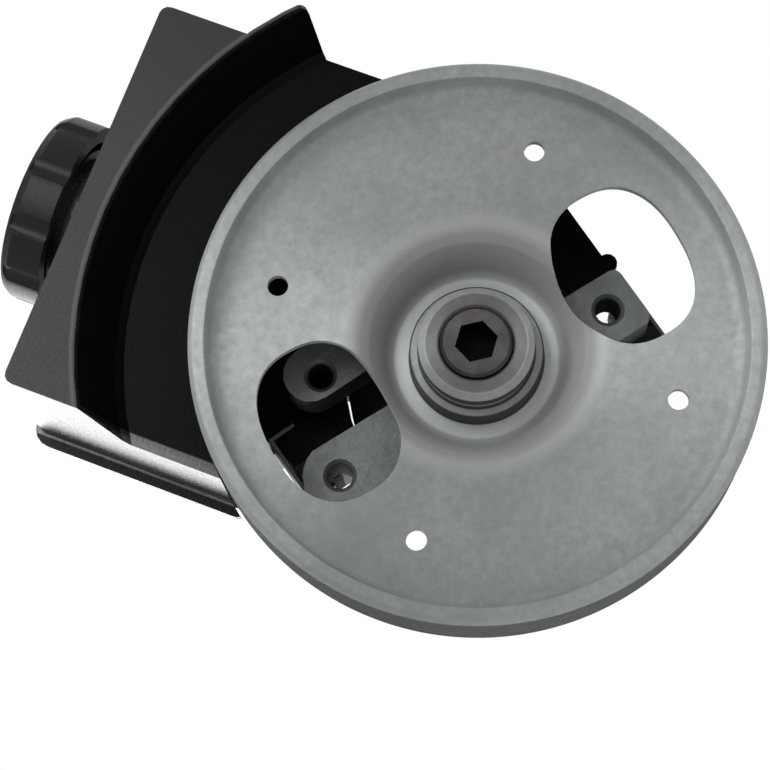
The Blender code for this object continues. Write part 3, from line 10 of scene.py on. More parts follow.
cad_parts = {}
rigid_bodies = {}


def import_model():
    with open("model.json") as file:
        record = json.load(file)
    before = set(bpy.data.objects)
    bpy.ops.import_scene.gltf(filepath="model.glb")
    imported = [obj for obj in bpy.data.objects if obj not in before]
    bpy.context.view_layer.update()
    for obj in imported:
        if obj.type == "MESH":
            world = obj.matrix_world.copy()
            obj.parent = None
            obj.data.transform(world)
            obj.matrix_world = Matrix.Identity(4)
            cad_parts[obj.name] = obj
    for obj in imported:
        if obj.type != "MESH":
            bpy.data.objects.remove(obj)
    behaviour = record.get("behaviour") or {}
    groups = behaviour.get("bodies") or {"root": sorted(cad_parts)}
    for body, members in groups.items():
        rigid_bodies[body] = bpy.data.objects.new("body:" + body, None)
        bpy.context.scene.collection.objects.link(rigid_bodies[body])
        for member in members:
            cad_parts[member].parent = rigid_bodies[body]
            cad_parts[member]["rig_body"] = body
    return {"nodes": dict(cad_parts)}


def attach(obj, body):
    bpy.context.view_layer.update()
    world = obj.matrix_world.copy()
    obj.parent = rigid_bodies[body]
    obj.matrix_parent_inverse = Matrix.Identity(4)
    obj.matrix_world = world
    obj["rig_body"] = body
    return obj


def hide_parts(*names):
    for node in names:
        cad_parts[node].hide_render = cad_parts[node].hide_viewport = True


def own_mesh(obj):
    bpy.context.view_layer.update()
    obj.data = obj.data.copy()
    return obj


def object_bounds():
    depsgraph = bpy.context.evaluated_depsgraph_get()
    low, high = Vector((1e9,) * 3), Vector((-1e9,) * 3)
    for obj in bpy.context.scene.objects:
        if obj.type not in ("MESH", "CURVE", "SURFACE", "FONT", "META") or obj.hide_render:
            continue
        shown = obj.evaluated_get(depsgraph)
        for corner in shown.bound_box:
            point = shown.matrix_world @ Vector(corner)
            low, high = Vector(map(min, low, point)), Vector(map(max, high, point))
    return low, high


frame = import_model()
CAD_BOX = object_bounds()
MM = 0.001

# The camera, in the part's own frame
CAMERA_PLACE = Vector((-143.45, -645.62, -56.48)) * MM
CAMERA_RIGHT = Vector((0.3597, 0.0408, -0.9322))
CAMERA_UP = Vector((0.9116, -0.2284, 0.3418))
CAMERA_BACK = Vector((-0.1989, -0.9727, -0.1193))
CAMERA_LENS = 112.7
SENSOR = 36.0

# Drive shaft end
SHAFT_RADIUS = 9.525 * MM
SHAFT_FRONT = -38.2 * MM
SOCKET_ACROSS_FLATS = 10.0 * MM

# Pulley
PULLEY_RADIUS = 75.0 * MM
PULLEY_FRONT = -44.5 * MM
PULLEY_REAR = -20.0 * MM
PULLEY_PHASE = math.radians(4.2)
PULLEY_STEPS = 180
SHEET = 2.5 * MM
RIM_INNER = 70.35 * MM
RIM_DRAFT = 0.4 * MM
RIM_CHAMFER = 1.4 * MM
RIM_LIP = 2.5 * MM
GROOVE_COUNT = 6
GROOVE_PITCH = 3.56 * MM
GROOVE_DEPTH = 2.4 * MM
WEB_DEPTH = 7.3 * MM
WEB_RIM = 61.4 * MM
WEB_END = WEB_RIM + 1.0 * MM
WEB_INNER = 34.5 * MM
WEB_START = WEB_INNER + 6.0 * MM
FUNNEL_DEPTH = 24.9 * MM
FUNNEL_FLOOR = 22.2 * MM
FUNNEL_WALL = 28.4 * MM
FUNNEL_FOOT = FUNNEL_FLOOR + 1.0 * MM
FUNNEL_SHOULDER = FUNNEL_WALL + 3.4 * MM
BORE_RADIUS = SHAFT_RADIUS + 0.3 * MM
NOSE_DEPTH = 8.0 * MM
NOSE_RADIUS = 15.3 * MM
NOSE_CHAMFER = 1.7 * MM
NOSE_LENGTH = 6.0 * MM
PULLER_GROOVE_RADIUS = 13.0 * MM
PULLER_GROOVE_WIDTH = 3.6 * MM
HUB_FLANGE = 17.8 * MM
HOLE_COUNT = 4
HOLE_STEPS = 48
HOLE_RADIUS = 2.75 * MM
HOLE_CIRCLE = 54.3 * MM
WINDOW_TURN = 135
WINDOW_CENTRE = 43.6 * MM
WINDOW_HALF_DEPTH = 16.6 * MM
WINDOW_HALF_WIDTH = 21.6 * MM
WINDOW_POWER = 2.4
CUT_MARGIN = 5.0 * MM

# Pump housing and reservoir, for their masks
EAR_FRONT = -15.0 * MM
EAR_HOLES = ((-41.9 * MM, 23.2 * MM), (-18.2 * MM, 38.2 * MM), (26.1 * MM, -28.0 * MM))
EAR_HOLE_REACH = 4.6 * MM
TANK_FRONT = -34.5 * MM
RECESS_MOUTH = 106.0 * MM
FLANK_X = -51.6 * MM
FLANGE_X = -57.2 * MM
SIDE_X = 59.3 * MM
RECESS_REAR = 12.0 * MM

# Light
MIDDLE = Vector((0.0, -20.0, 20.0)) * MM
FLANK_LIGHT = Vector((-0.40, 0.89, 0.21))
FILL_STRENGTH = 0.45
SEEN_STRENGTH = 1.0
FLOOR_GLOW = 0.6
FLOOR_DROP = 60.0 * MM
FLOOR_REACH = 4.0


def place_of(right, up, toward):
    """A point given by distances along the photograph's own directions, in metres."""
    return MIDDLE + CAMERA_RIGHT * right + CAMERA_UP * up + CAMERA_BACK * toward


# Mesh helpers


def adopt(name, mesh):
    made = bpy.data.objects.new(name, mesh)
    bpy.context.scene.collection.objects.link(made)
    return made


def from_bmesh(name, shape):
    bmesh.ops.recalc_face_normals(shape, faces=shape.faces)
    mesh = bpy.data.meshes.new(name)
    shape.to_mesh(mesh)
    shape.free()
    return adopt(name, mesh)


def bake(thing):
    graph = bpy.context.evaluated_depsgraph_get()
    mesh = bpy.data.meshes.new_from_object(thing.evaluated_get(graph))
    thing.modifiers.clear()
    thing.data = mesh
    return thing


def combine(target, tool, operation):
    modifier = target.modifiers.new(operation.lower(), "BOOLEAN")
    modifier.operation = operation
    modifier.solver = "EXACT"
    modifier.object = tool
    bake(target)
    bpy.data.objects.remove(tool)
    return target


def turned(name, profile, steps):
    """Turn a closed profile of (radius, y) points about the shaft's axis."""
    shape = bmesh.new()
    points = [shape.verts.new((r, y, 0.0)) for r, y in profile]
    for first, second in zip(points, points[1:]):
        shape.edges.new((first, second))
    shape.edges.new((points[-1], points[0]))
    mesh = bpy.data.meshes.new(name)
    shape.to_mesh(mesh)
    shape.free()
    thing = adopt(name, mesh)
    screw = thing.modifiers.new("turn", "SCREW")
    screw.axis = "Y"
    screw.angle = 2 * math.pi
    screw.steps = steps
    screw.render_steps = steps
    screw.use_merge_vertices = True
    screw.merge_threshold = 1e-6
    bake(thing)
    face_out(thing)
    return thing


def face_out(thing):
    shape = bmesh.new()
    shape.from_mesh(thing.data)
    bmesh.ops.remove_doubles(shape, verts=shape.verts, dist=1e-6)
    bmesh.ops.recalc_face_normals(shape, faces=shape.faces)
    shape.to_mesh(thing.data)
    shape.free()


def prism(name, outline, low, high):
    """Extrude a closed (x, z) outline along Y."""
    shape = bmesh.new()
    near = [shape.verts.new((x, low, z)) for x, z in outline]
    far = [shape.verts.new((x, high, z)) for x, z in outline]
    count = len(outline)
    shape.faces.new(near)
    shape.faces.new(list(reversed(far)))
    for i in range(count):
        j = (i + 1) % count
        shape.faces.new((near[j], near[i], far[i], far[j]))
    return from_bmesh(name, shape)


def cylinder(name, radius, low, high, centre):
    outline = [
        (
            centre[0] + radius * math.cos(2 * math.pi * i / HOLE_STEPS),
            centre[1] + radius * math.sin(2 * math.pi * i / HOLE_STEPS),
        )
        for i in range(HOLE_STEPS)
    ]
    return prism(name, outline, low, high)


def rounded(points, radii, count=5):
    """Round the corners of a closed profile; radii give each corner's radius, 0 to keep it sharp."""
    out = []
    total = len(points)
    for i, (corner, radius) in enumerate(zip(points, radii)):
        here = Vector(corner)
        before, after = Vector(points[i - 1]), Vector(points[(i + 1) % total])
        if radius <= 0:
            out.append(tuple(here))
            continue
        to_before, to_after = (before - here), (after - here)
        angle = to_before.angle(to_after)
        reach = radius / math.tan(angle / 2)
        reach = min(reach, 0.48 * to_before.length, 0.48 * to_after.length)
        start, end = here + to_before.normalized() * reach, here + to_after.normalized() * reach
        for k in range(count + 1):
            t = k / count
            point = start * (1 - t) ** 2 + here * 2 * t * (1 - t) + end * t**2
            out.append(tuple(point))
    return out


def shade(thing, angle=30.0):
    thing.data.shade_smooth()
    thing.data.set_sharp_from_angle(angle=math.radians(angle))


def bevelled(thing, width, segments=3, angle=30.0):
    bevel = thing.modifiers.new("edges", "BEVEL")
    bevel.width = width
    bevel.segments = segments
    bevel.limit_method = "ANGLE"
    bevel.angle_limit = math.radians(angle)
    bevel.use_clamp_overlap = True
    weigh = thing.modifiers.new("flats", "WEIGHTED_NORMAL")
    weigh.keep_sharp = True
    return bake(thing)


def softened(node, width, segments=3, angle=28.0, join_angle=0.4):
    """A copy of a CAD node with broken edges, which stands for the node."""
    source = frame["nodes"][node]
    piece = adopt("fine_" + node, source.data.copy())
    shape = bmesh.new()
    shape.from_mesh(piece.data)
    bmesh.ops.remove_doubles(shape, verts=shape.verts, dist=2e-6)
    bmesh.ops.dissolve_limit(
        shape, angle_limit=math.radians(join_angle), verts=shape.verts, edges=shape.edges
    )
    bmesh.ops.recalc_face_normals(shape, faces=shape.faces)
    shape.to_mesh(piece.data)
    shape.free()
    shade(piece, 40.0)
    bevelled(piece, width, segments, angle)
    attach(piece, source["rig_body"])
    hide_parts(node)
    return piece


def dress(thing, material):
    thing.data.materials.clear()
    thing.data.materials.append(material)
    return thing


# Materials


class Surface:
    """A Principled material whose colour, roughness and bump come from small node chains."""

    def __init__(self, name, colour, roughness, metallic=0.0):
        self.material = bpy.data.materials.new(name)
        self.material.use_nodes = True
        self.tree = self.material.node_tree
        self.shader = self.tree.nodes["Principled BSDF"]
        self.shader.inputs["Base Color"].default_value = (*colour, 1.0)
        self.shader.inputs["Roughness"].default_value = roughness
        self.shader.inputs["Metallic"].default_value = metallic
        self.coords = self.node("ShaderNodeTexCoord").outputs["Object"]
        self.height = None

    def node(self, kind, **values):
        made = self.tree.nodes.new(kind)
        for key, value in values.items():
            setattr(made, key, value)
        return made

    def link(self, output, entry):
        self.tree.links.new(output, entry)

    def noise(self, scale, detail=4.0, rough=0.55, stretch=None, low=0.35, high=0.65):
        """Noise from 0 to 1, with its middle stretched to the whole range."""
        source = self.coords
        if stretch:
            mapping = self.node("ShaderNodeMapping")
            mapping.inputs["Scale"].default_value = stretch
            self.link(source, mapping.inputs["Vector"])
            source = mapping.outputs["Vector"]
        texture = self.node("ShaderNodeTexNoise")
        texture.inputs["Scale"].default_value = scale
        texture.inputs["Detail"].default_value = detail
        texture.inputs["Roughness"].default_value = rough
        self.link(source, texture.inputs["Vector"])
        return self.spread(texture.outputs["Fac"], low, high)

    def spread(self, value, low, high, to_low=0.0, to_high=1.0):
        scale = self.node("ShaderNodeMapRange")
        scale.clamp = True
        scale.inputs["From Min"].default_value = low
        scale.inputs["From Max"].default_value = high
        scale.inputs["To Min"].default_value = to_low
        scale.inputs["To Max"].default_value = to_high
        self.link(value, scale.inputs["Value"])
        return scale.outputs["Result"]

    def math(self, operation, first, second=None):
        made = self.node("ShaderNodeMath", operation=operation)
        for entry, value in zip(made.inputs, (first, second)):
            if value is None:
                continue
            if isinstance(value, (int, float)):
                entry.default_value = value
            else:
                self.link(value, entry)
        return made.outputs["Value"]

    def mix(self, factor, first, second):
        made = self.node("ShaderNodeMix", data_type="RGBA")
        for entry, value in ((made.inputs[0], factor), (made.inputs[6], first), (made.inputs[7], second)):
            if isinstance(value, (int, float)):
                entry.default_value = value
            elif isinstance(value, (tuple, list)):
                entry.default_value = (*value, 1.0)
            else:
                self.link(value, entry)
        return made.outputs[2]

    def radial(self):
        """Distance from the shaft's axis and the place along it, in metres."""
        split = self.node("ShaderNodeSeparateXYZ")
        self.link(self.coords, split.inputs["Vector"])
        squares = [self.math("POWER", split.outputs[axis], 2.0) for axis in "XZ"]
        return self.math("SQRT", self.math("ADD", *squares)), split.outputs

    def rings(self, scale, detail=3.0):
        """Fine turned marks: noise that changes with the radius and hardly round the axis."""
        radius, parts = self.radial()
        joined = self.node("ShaderNodeCombineXYZ")
        self.link(radius, joined.inputs["X"])
        self.link(parts["Y"], joined.inputs["Y"])
        texture = self.node("ShaderNodeTexNoise")
        texture.inputs["Scale"].default_value = scale
        texture.inputs["Detail"].default_value = detail
        self.link(joined.outputs["Vector"], texture.inputs["Vector"])
        return self.spread(texture.outputs["Fac"], 0.3, 0.7)

    def ahead_of(self, place, blend=0.3 * MM):
        """1 in front of a plane across the shaft, 0 behind it."""
        parts = self.radial()[1]
        return self.spread(parts["Y"], place, place + blend, 1.0, 0.0)

    def within(self, reach, blend=0.5 * MM):
        """1 nearer than a distance to the shaft's axis, 0 further out."""
        return self.spread(self.radial()[0], reach - blend, reach, 1.0, 0.0)

    def ring(self, radius, half_width=0.3 * MM, blend=0.2 * MM):
        """1 on a ring round the shaft's axis, 0 elsewhere."""
        outside = self.within(radius - half_width, blend)
        return self.math("SUBTRACT", self.within(radius + half_width + blend, blend), outside)

    def near_line(self, centre, reach, blend=0.2 * MM):
        """1 nearer than a distance to a line along the shaft through (x, z), 0 further out."""
        parts = self.radial()[1]
        sides = [
            self.math("POWER", self.math("SUBTRACT", parts[axis], start), 2.0)
            for axis, start in zip("XZ", centre)
        ]
        return self.spread(self.math("SQRT", self.math("ADD", *sides)), reach - blend, reach, 1.0, 0.0)

    def set_colour(self, value):
        self.link(value, self.shader.inputs["Base Color"])

    def set_roughness(self, value):
        self.link(value, self.shader.inputs["Roughness"])

    def bump(self, value, distance):
        made = self.node("ShaderNodeBump")
        made.inputs["Distance"].default_value = distance
        self.link(value, made.inputs["Height"])
        if self.height:
            self.link(self.height, made.inputs["Normal"])
        self.height = made.outputs["Normal"]
        self.link(self.height, self.shader.inputs["Normal"])


def pressed_steel():
    """Zinc-coated pressed steel with faint turned marks and blotches, painted shade on the belt grooves and
    round the hub's nose and flange, and painted light in the funnel and on a ring of its floor.
    """
    s = Surface("pressed_steel", (0.24, 0.252, 0.250), 0.55, 1.0)
    s.shader.inputs["Anisotropic"].default_value = 0.8
    s.shader.inputs["Anisotropic Rotation"].default_value = 0.25
    tangent = s.node("ShaderNodeTangent", direction_type="RADIAL", axis="Y")
    s.link(tangent.outputs["Tangent"], s.shader.inputs["Tangent"])
    blotch = s.noise(22, 6.0, 0.62)
    speck = s.noise(500, 3.0, 0.6, low=0.3, high=0.7)
    rings = s.rings(1500)
    # Painted shade: the belt grooves behind the front lip are darkened, where shade falls on the rim's
    # outside.
    belt_groove_shade = s.math("SUBTRACT", 1.0, s.within(PULLEY_RADIUS - GROOVE_DEPTH - 0.4 * MM))
    belt_groove_shade = s.math("SUBTRACT", belt_groove_shade, s.ahead_of(PULLEY_FRONT + RIM_LIP - 0.5 * MM))
    # Painted light: the funnel round the hub is paler and less metallic, standing in for light that reaches
    # its walls.
    funnel = s.math("SUBTRACT", s.within(WEB_INNER + 2.0 * MM, 4.0 * MM), s.within(FUNNEL_FLOOR, 1.5 * MM))
    nose = PULLEY_FRONT + NOSE_DEPTH
    # Painted shade: dark bands on the sides of the nose and the hub flange, where shade falls under them.
    nose_side_shade = s.math("SUBTRACT", s.ring(NOSE_RADIUS), s.ahead_of(nose + NOSE_CHAMFER, 0.2 * MM))
    hub_side_shade = s.math("MAXIMUM", nose_side_shade, s.ring(HUB_FLANGE))
    hub_face = s.math("MULTIPLY", s.within(NOSE_RADIUS - NOSE_CHAMFER), s.ahead_of(nose + 0.3 * MM))
    colour = s.mix(blotch, (0.190, 0.202, 0.200), (0.270, 0.283, 0.280))
    colour = s.mix(s.math("MULTIPLY", speck, 0.3), colour, (0.14, 0.15, 0.15))
    colour = s.mix(s.math("MULTIPLY", belt_groove_shade, 0.75), colour, (0.07, 0.074, 0.074))
    colour = s.mix(funnel, colour, (0.25, 0.262, 0.258))
    # Painted highlight: a pale ring on the funnel floor round the hub flange.
    colour = s.mix(s.ring((HUB_FLANGE + FUNNEL_FLOOR) / 2, 1.6 * MM, 0.8 * MM), colour, (0.40, 0.42, 0.415))
    colour = s.mix(s.math("MULTIPLY", hub_side_shade, 0.9), colour, (0.03, 0.03, 0.03))
    s.set_colour(s.mix(s.math("MULTIPLY", hub_face, 0.8), colour, (0.088, 0.087, 0.084)))
    s.link(s.spread(funnel, 0, 1, 1.0, 0.45), s.shader.inputs["Metallic"])
    s.set_roughness(s.math("ADD", s.spread(blotch, 0, 1, 0.51, 0.58), s.spread(speck, 0, 1, 0.0, 0.06)))
    s.bump(rings, 0.000006)
    s.bump(speck, 0.00001)
    return s.material


def cast_alloy():
    """Dark casting, near black partly as painted shade, with paler machined front faces on the boss and the
    ears, and painted shade in the ears' holes.
    """
    s = Surface("cast_alloy", (0.03, 0.031, 0.031), 0.6, 0.6)
    grain = s.noise(900, 3.0, 0.6, low=0.3, high=0.7)
    blotch = s.noise(60, 4.0)
    faced = s.ahead_of(EAR_FRONT + 0.8 * MM)
    # Partly painted shade: the casting behind the machined faces is near black, its own dark tone darkened
    # further for the shade in the pulley's windows.
    casting = s.mix(blotch, (0.010, 0.0105, 0.0105), (0.028, 0.029, 0.029))
    machined = s.mix(blotch, (0.080, 0.086, 0.086), (0.115, 0.122, 0.122))
    s.link(s.spread(faced, 0, 1, 0.25, 0.6), s.shader.inputs["Metallic"])
    s.link(s.spread(faced, 0, 1, 0.2, 0.5), s.shader.inputs["Specular IOR Level"])
    # Painted shade: the ears' holes behind the front face are near black, where shade falls inside them.
    holes = [s.near_line(centre, EAR_HOLE_REACH) for centre in EAR_HOLES]
    bore_shade = s.math("MAXIMUM", s.math("MAXIMUM", holes[0], holes[1]), holes[2])
    bore_shade = s.math("SUBTRACT", bore_shade, s.math("MULTIPLY", bore_shade, s.ahead_of(EAR_FRONT + 1.2 * MM)))
    colour = s.mix(faced, casting, machined)
    s.set_colour(s.mix(bore_shade, colour, (0.004, 0.004, 0.004)))
    s.set_roughness(s.math("ADD", s.spread(grain, 0, 1, 0.45, 0.62), s.math("MULTIPLY", bore_shade, 0.35)))
    s.bump(grain, 0.00005)
    return s.material


def socket_steel():
    """The shaft's dark end, with its socket painted black as shade."""
    s = Surface("shaft_steel", (0.07, 0.063, 0.06), 0.4, 1.0)
    grain = s.noise(420, 4.0, 0.6, low=0.3, high=0.7)
    blotch = s.noise(120, 4.0)
    face = s.mix(blotch, (0.036, 0.034, 0.033), (0.064, 0.060, 0.058))
    below_face = s.ahead_of(SHAFT_FRONT + 0.4 * MM, -0.2 * MM)
    # Painted shade: the hex socket's inside is near black, where shade falls in it.
    socket = s.math("MULTIPLY", s.within(0.6 * SOCKET_ACROSS_FLATS), below_face)
    s.set_colour(s.mix(socket, face, (0.003, 0.003, 0.003)))
    s.set_roughness(s.spread(grain, 0, 1, 0.36, 0.5))
    s.bump(grain, 0.00002)
    return s.material


def plain_steel(name, colour, roughness, grain_scale=500):
    s = Surface(name, colour, roughness, 1.0)
    grain = s.noise(grain_scale, 3.0, 0.6, low=0.3, high=0.7)
    darker = tuple(0.75 * c for c in colour)
    s.set_colour(s.mix(grain, darker, colour))
    s.set_roughness(s.spread(grain, 0, 1, roughness - 0.05, roughness + 0.08))
    s.bump(grain, 0.00002)
    return s.material


def moulded_plastic(name, colour, roughness):
    """Black moulded plastic: faint grain and a soft sheen."""
    s = Surface(name, colour, roughness)
    s.shader.inputs["Specular IOR Level"].default_value = 0.15
    grain = s.noise(1400, 2.0, 0.5, low=0.3, high=0.7)
    dust = s.noise(35, 6.0, 0.65, low=0.45, high=0.75)
    s.set_colour(s.mix(s.math("MULTIPLY", dust, 0.25), colour, tuple(2.5 * c + 0.006 for c in colour)))
    fine = s.spread(grain, 0, 1, roughness - 0.03, roughness + 0.05)
    s.set_roughness(s.math("ADD", fine, s.spread(dust, 0, 1, 0.0, 0.06)))
    s.bump(grain, 0.00001)
    return s.material


def tank_plastic():
    """Black plastic: a front face pale with erosion and a painted highlight round the recess mouth, a painted
    reflection on the flank, painted shade, dark and without sheen, in the pulley's recess and on the seam
    flange, smooth elsewhere.
    """
    s = Surface("tank_plastic", (0.004, 0.0042, 0.0045), 0.3)
    grain = s.noise(1100, 2.0, 0.5, low=0.3, high=0.7)
    dust = s.noise(30, 6.0, 0.65, low=0.4, high=0.75)
    face = s.ahead_of(TANK_FRONT + 0.35 * MM, 0.25 * MM)
    # Painted shade: the pulley's recess is darkened and loses its sheen, where shade falls behind the pulley.
    recess = s.math("SUBTRACT", 1.0, s.ahead_of(TANK_FRONT + 0.9 * MM, 0.5 * MM))
    recess = s.math("MULTIPLY", recess, s.within(RECESS_MOUTH + 0.3 * MM))
    across = s.radial()[1]["X"]
    facing = s.node("ShaderNodeSeparateXYZ")
    s.link(s.node("ShaderNodeTexCoord").outputs["Normal"], facing.inputs["Vector"])
    beyond = s.spread(across, SIDE_X - 0.5 * MM, SIDE_X)
    side = s.math("MULTIPLY", beyond, s.spread(facing.outputs["X"], 0.8, 0.9))
    recess = s.math("MULTIPLY", recess, s.math("SUBTRACT", 1.0, side))
    recess = s.math("MULTIPLY", recess, s.spread(across, FLANK_X, FLANK_X + 0.5 * MM))
    recess = s.math("MULTIPLY", recess, s.ahead_of(RECESS_REAR))
    # Painted shade: the seam flange is near black and without sheen, where it stands in shade.
    flange = s.spread(across, FLANGE_X - 0.4 * MM, FLANGE_X, 1.0, 0.0)
    flank = s.math("SUBTRACT", s.spread(across, FLANK_X - 1.4 * MM, FLANK_X - 0.8 * MM, 1.0, 0.0), flange)
    # Painted reflection: the flank is lightened in a mottled band, standing in for the pale studio it
    # reflects.
    reflection_mottle = s.noise(70, 5.0, 0.6, stretch=(1.0, 2.2, 0.8))
    # Painted highlight: a pale band just outside the recess mouth, where its rounded edge would catch the
    # light.
    edge = s.math("SUBTRACT", s.within(RECESS_MOUTH + 1.4 * MM), s.within(RECESS_MOUTH + 0.4 * MM))
    eroded_face_and_highlight = s.mix(dust, (0.007, 0.0082, 0.0088), (0.013, 0.0148, 0.0155))
    eroded_face_and_highlight = s.mix(edge, eroded_face_and_highlight, (0.045, 0.050, 0.051))
    smooth = s.mix(s.math("MULTIPLY", dust, 0.4), (0.0035, 0.0038, 0.004), (0.012, 0.013, 0.0135))
    flank_reflection = s.mix(reflection_mottle, (0.018, 0.019, 0.019), (0.055, 0.058, 0.058))
    smooth = s.mix(s.math("MULTIPLY", flank, s.math("SUBTRACT", 1.0, face)), smooth, flank_reflection)
    smooth = s.mix(flange, smooth, (0.002, 0.002, 0.002))
    s.set_colour(s.mix(face, s.mix(recess, smooth, (0.0026, 0.0026, 0.0028)), eroded_face_and_highlight))
    s.set_roughness(s.math("ADD", s.spread(grain, 0, 1, 0.24, 0.32), s.math("MULTIPLY", face, 0.12)))
    sheen = s.math("SUBTRACT", s.spread(recess, 0, 1, 0.5, 0.03), s.math("MULTIPLY", face, 0.27))
    sheen = s.math("SUBTRACT", sheen, s.math("MULTIPLY", flange, 0.42))
    s.link(sheen, s.shader.inputs["Specular IOR Level"])
    s.bump(grain, 0.000012)
    return s.material


def rubber():
    s = Surface("rubber", (0.02, 0.02, 0.02), 0.65)
    grain = s.noise(700, 3.0, 0.5)
    s.set_colour(s.mix(grain, (0.016, 0.016, 0.016), (0.03, 0.03, 0.03)))
    s.bump(grain, 0.00003)
    return s.material


PRESSED = pressed_steel()
CAST = cast_alloy()
SHAFT_STEEL = socket_steel()
MACHINED = plain_steel("machined_steel", (0.4, 0.4, 0.4), 0.3)
SPRING_STEEL = plain_steel("spring_steel", (0.28, 0.29, 0.3), 0.35)
CLIP_STEEL = plain_steel("clip_steel", (0.09, 0.093, 0.096), 0.45)
BRONZE = plain_steel("bronze", (0.5, 0.33, 0.16), 0.35)
TANK_PLASTIC = tank_plastic()
CAP_PLASTIC = moulded_plastic("cap_plastic", (0.006, 0.0066, 0.0072), 0.34)
RUBBER = rubber()


# Pulley and shaft


def pulley_profile():
    front, rear, out = PULLEY_FRONT, PULLEY_REAR, PULLEY_RADIUS
    nose = front + NOSE_DEPTH
    groove_front = nose + NOSE_LENGTH
    groove_rear = groove_front + PULLER_GROOVE_WIDTH
    web = front + WEB_DEPTH
    floor = front + FUNNEL_DEPTH
    corners = [
        ((BORE_RADIUS + 0.5 * MM, nose), 0.0),
        ((NOSE_RADIUS - NOSE_CHAMFER, nose), 0.4 * MM),
        ((NOSE_RADIUS, nose + NOSE_CHAMFER), 0.5 * MM),
        ((NOSE_RADIUS, groove_front), 0.25 * MM),
        ((PULLER_GROOVE_RADIUS, groove_front), 0.4 * MM),
        ((PULLER_GROOVE_RADIUS, groove_rear), 0.4 * MM),
        ((HUB_FLANGE, groove_rear), 0.25 * MM),
        ((HUB_FLANGE, floor), 0.3 * MM),
        ((FUNNEL_FOOT, floor), 4.0 * MM),
        ((FUNNEL_WALL, web + 5.0 * MM), 6.0 * MM),
        ((FUNNEL_SHOULDER, web), 9.0 * MM),
        ((WEB_START, web), 0.0),
        ((WEB_RIM, web), 0.0),
        ((WEB_END, web), 0.0),
        ((RIM_INNER - RIM_DRAFT, web), 6.0 * MM),
        ((RIM_INNER, front), 0.5 * MM),
        ((out - RIM_CHAMFER, front), 1.6 * MM),
        ((out, front + RIM_LIP), 0.5 * MM),
    ]
    for i in range(GROOVE_COUNT):
        start = front + RIM_LIP + i * GROOVE_PITCH
        corners.append(((out - GROOVE_DEPTH, start + GROOVE_PITCH / 2), 0.35 * MM))
        corners.append(((out, start + GROOVE_PITCH), 0.4 * MM))
    corners += [
        ((out, rear), 0.5 * MM),
        ((RIM_INNER, rear), 0.5 * MM),
        ((RIM_INNER, web + SHEET), 5.0 * MM),
        ((WEB_END, web + SHEET), 0.0),
        ((WEB_RIM, web + SHEET), 0.0),
        ((WEB_START, web + SHEET), 0.0),
        ((FUNNEL_WALL + SHEET + 2.6 * MM, web + SHEET), 7.0 * MM),
        ((FUNNEL_WALL + SHEET, web + SHEET + 4.6 * MM), 5.0 * MM),
        ((FUNNEL_FLOOR + 2.4 * MM, floor + SHEET), 3.0 * MM),
        ((BORE_RADIUS, floor + SHEET), 0.0),
        ((BORE_RADIUS, nose + 0.5 * MM), 0.0),
    ]
    return rounded([c for c, r in corners], [r for c, r in corners])


def window_outline(angle, count=72):
    points = []
    for i in range(count):
        a = 2 * math.pi * i / count
        c, s = math.cos(a), math.sin(a)
        x = WINDOW_CENTRE + WINDOW_HALF_DEPTH * math.copysign(abs(c) ** (2 / WINDOW_POWER), c)
        z = WINDOW_HALF_WIDTH * math.copysign(abs(s) ** (2 / WINDOW_POWER), s)
        turned_x = x * math.cos(angle) - z * math.sin(angle)
        turned_z = x * math.sin(angle) + z * math.cos(angle)
        points.append((turned_x, turned_z))
    return points


def make_pulley():
    pulley = turned("fine_pulley", pulley_profile(), PULLEY_STEPS)
    reach = (PULLEY_FRONT - CUT_MARGIN, PULLEY_REAR + CUT_MARGIN)
    for side in (0, 1):
        angle = PULLEY_PHASE + math.radians(WINDOW_TURN + 180 * side)
        combine(pulley, prism("window", window_outline(angle), *reach), "DIFFERENCE")
    for i in range(HOLE_COUNT):
        angle = PULLEY_PHASE + 2 * math.pi / HOLE_COUNT * i
        centre = (HOLE_CIRCLE * math.cos(angle), HOLE_CIRCLE * math.sin(angle))
        combine(pulley, cylinder("hole", HOLE_RADIUS, *reach, centre), "DIFFERENCE")
    face_out(pulley)
    shade(pulley, 35.0)
    bevelled(pulley, 0.3 * MM, 2, 50)
    dress(pulley, PRESSED)
    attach(pulley, "rotating_group")
    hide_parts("pulley")


def make_valve_spring():
    """The spool's return spring, a smooth-shaded copy of its node on the same body."""
    source = frame["nodes"]["valve_spring"]
    spring = adopt("fine_valve_spring", source.data.copy())
    shade(spring, 50.0)
    dress(spring, SPRING_STEEL)
    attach(spring, source["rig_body"])
    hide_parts("valve_spring")
    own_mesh(spring)


make_pulley()
make_valve_spring()

for node, width, material in (
    ("drive_shaft", 0.25 * MM, SHAFT_STEEL),
    ("pump_housing", 0.7 * MM, CAST),
    ("reservoir_front", 0.7 * MM, TANK_PLASTIC),
    ("reservoir_rear", 0.7 * MM, TANK_PLASTIC),
    ("reservoir_cap", 0.6 * MM, CAP_PLASTIC),
    ("retaining_clip_left", 0.3 * MM, CLIP_STEEL),
    ("retaining_clip_right", 0.3 * MM, CLIP_STEEL),
    ("outlet_union", 0.4 * MM, CLIP_STEEL),
):
    dress(softened(node, width), material)

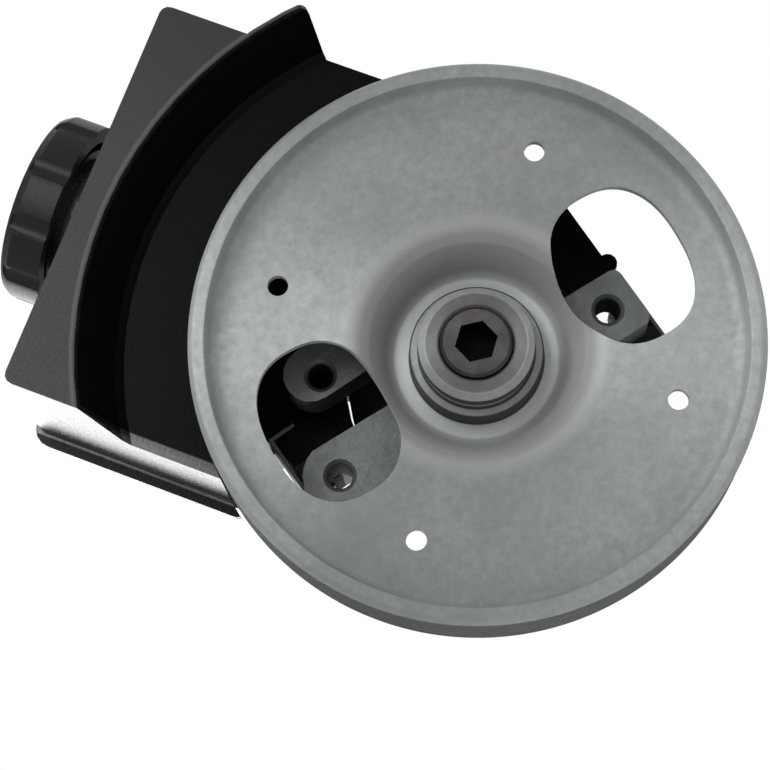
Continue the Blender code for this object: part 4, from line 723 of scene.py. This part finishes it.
for node, material in (
    ("shaft_seal", RUBBER),
    ("shaft_bush", BRONZE),
    ("thrust_plate", MACHINED),
    ("cam_ring", MACHINED),
    ("rotor", MACHINED),
    ("rotor_retaining_ring", SPRING_STEEL),
    ("pressure_plate", MACHINED),
    ("pressure_plate_spring", SPRING_STEEL),
    ("pressure_plate_seal", RUBBER),
    ("dowel_pin_1", MACHINED),
    ("dowel_pin_2", MACHINED),
    ("end_cover", PRESSED),
    ("end_cover_seal", RUBBER),
    ("end_cover_retaining_ring", SPRING_STEEL),
    ("valve_spool", MACHINED),
    ("outlet_union_seal", RUBBER),
    ("reservoir_seal", RUBBER),
    ("cap_seal", RUBBER),
    ("dipstick", CAP_PLASTIC),
    *((f"vane_{i:02d}", MACHINED) for i in range(1, 11)),
):
    dress(frame["nodes"][node], material)


# Floor, light and camera


def seen_ray(tree):
    """1 for camera, glossy and transmission rays, which see the plain white studio."""
    paths = tree.nodes.new("ShaderNodeLightPath")
    total = paths.outputs["Is Camera Ray"]
    for kind in ("Is Glossy Ray", "Is Transmission Ray"):
        largest = tree.nodes.new("ShaderNodeMath")
        largest.operation = "MAXIMUM"
        tree.links.new(total, largest.inputs[0])
        tree.links.new(paths.outputs[kind], largest.inputs[1])
        total = largest.outputs["Value"]
    return total


def make_floor():
    shape = bmesh.new()
    bmesh.ops.create_grid(shape, x_segments=1, y_segments=1, size=FLOOR_REACH)
    floor = from_bmesh("floor", shape)
    floor.location.z = CAD_BOX[0].z - FLOOR_DROP
    s = Surface("pale_floor", (0.9, 0.9, 0.9), 0.6)
    s.shader.inputs["Specular IOR Level"].default_value = 0.0
    s.shader.inputs["Emission Color"].default_value = (1.0, 1.0, 1.0, 1.0)
    s.link(s.math("MULTIPLY", seen_ray(s.tree), FLOOR_GLOW), s.shader.inputs["Emission Strength"])
    dress(floor, s.material)


def make_world():
    world = bpy.data.worlds.new("studio")
    bpy.context.scene.world = world
    world.use_nodes = True
    tree = world.node_tree
    fill = tree.nodes["Background"]
    fill.inputs["Color"].default_value = (1.0, 1.0, 1.0, 1.0)
    fill.inputs["Strength"].default_value = FILL_STRENGTH
    seen = tree.nodes.new("ShaderNodeBackground")
    seen.inputs["Color"].default_value = (1.0, 1.0, 1.0, 1.0)
    seen.inputs["Strength"].default_value = SEEN_STRENGTH
    mix = tree.nodes.new("ShaderNodeMixShader")
    tree.links.new(seen_ray(tree), mix.inputs["Fac"])
    tree.links.new(fill.outputs["Background"], mix.inputs[1])
    tree.links.new(seen.outputs["Background"], mix.inputs[2])
    tree.links.new(mix.outputs["Shader"], tree.nodes["World Output"].inputs["Surface"])


def softbox(name, place, width, height, power):
    """A soft lamp that faces the part and stays out of the camera's sight."""
    data = bpy.data.lights.new(name, "AREA")
    data.shape = "RECTANGLE"
    data.size, data.size_y = width, height
    data.energy = power
    lamp = bpy.data.objects.new(name, data)
    bpy.context.scene.collection.objects.link(lamp)
    lamp.location = place
    lamp.visible_camera = False
    aim = MIDDLE - lamp.location
    lamp.rotation_mode = "QUATERNION"
    lamp.rotation_quaternion = aim.to_track_quat("-Z", "Y")


def make_camera():
    data = bpy.data.cameras.new("camera")
    data.sensor_width = SENSOR
    data.lens = CAMERA_LENS
    data.clip_start = 0.01
    camera = bpy.data.objects.new("camera", data)
    bpy.context.scene.collection.objects.link(camera)
    turn = Matrix((CAMERA_RIGHT, CAMERA_UP, CAMERA_BACK)).transposed().to_4x4()
    camera.matrix_world = Matrix.Translation(CAMERA_PLACE) @ turn
    bpy.context.scene.camera = camera


make_floor()
make_world()
softbox("left_softbox", place_of(-0.58, 0.45, 0.80), 0.45, 0.7, 8.0)
softbox("right_softbox", place_of(0.60, 0.15, 0.78), 0.45, 0.7, 18.0)
softbox("flank_softbox", MIDDLE + 1.0 * FLANK_LIGHT, 0.7, 0.7, 6.0)
make_camera()
bpy.context.scene.view_settings.view_transform = "Standard"
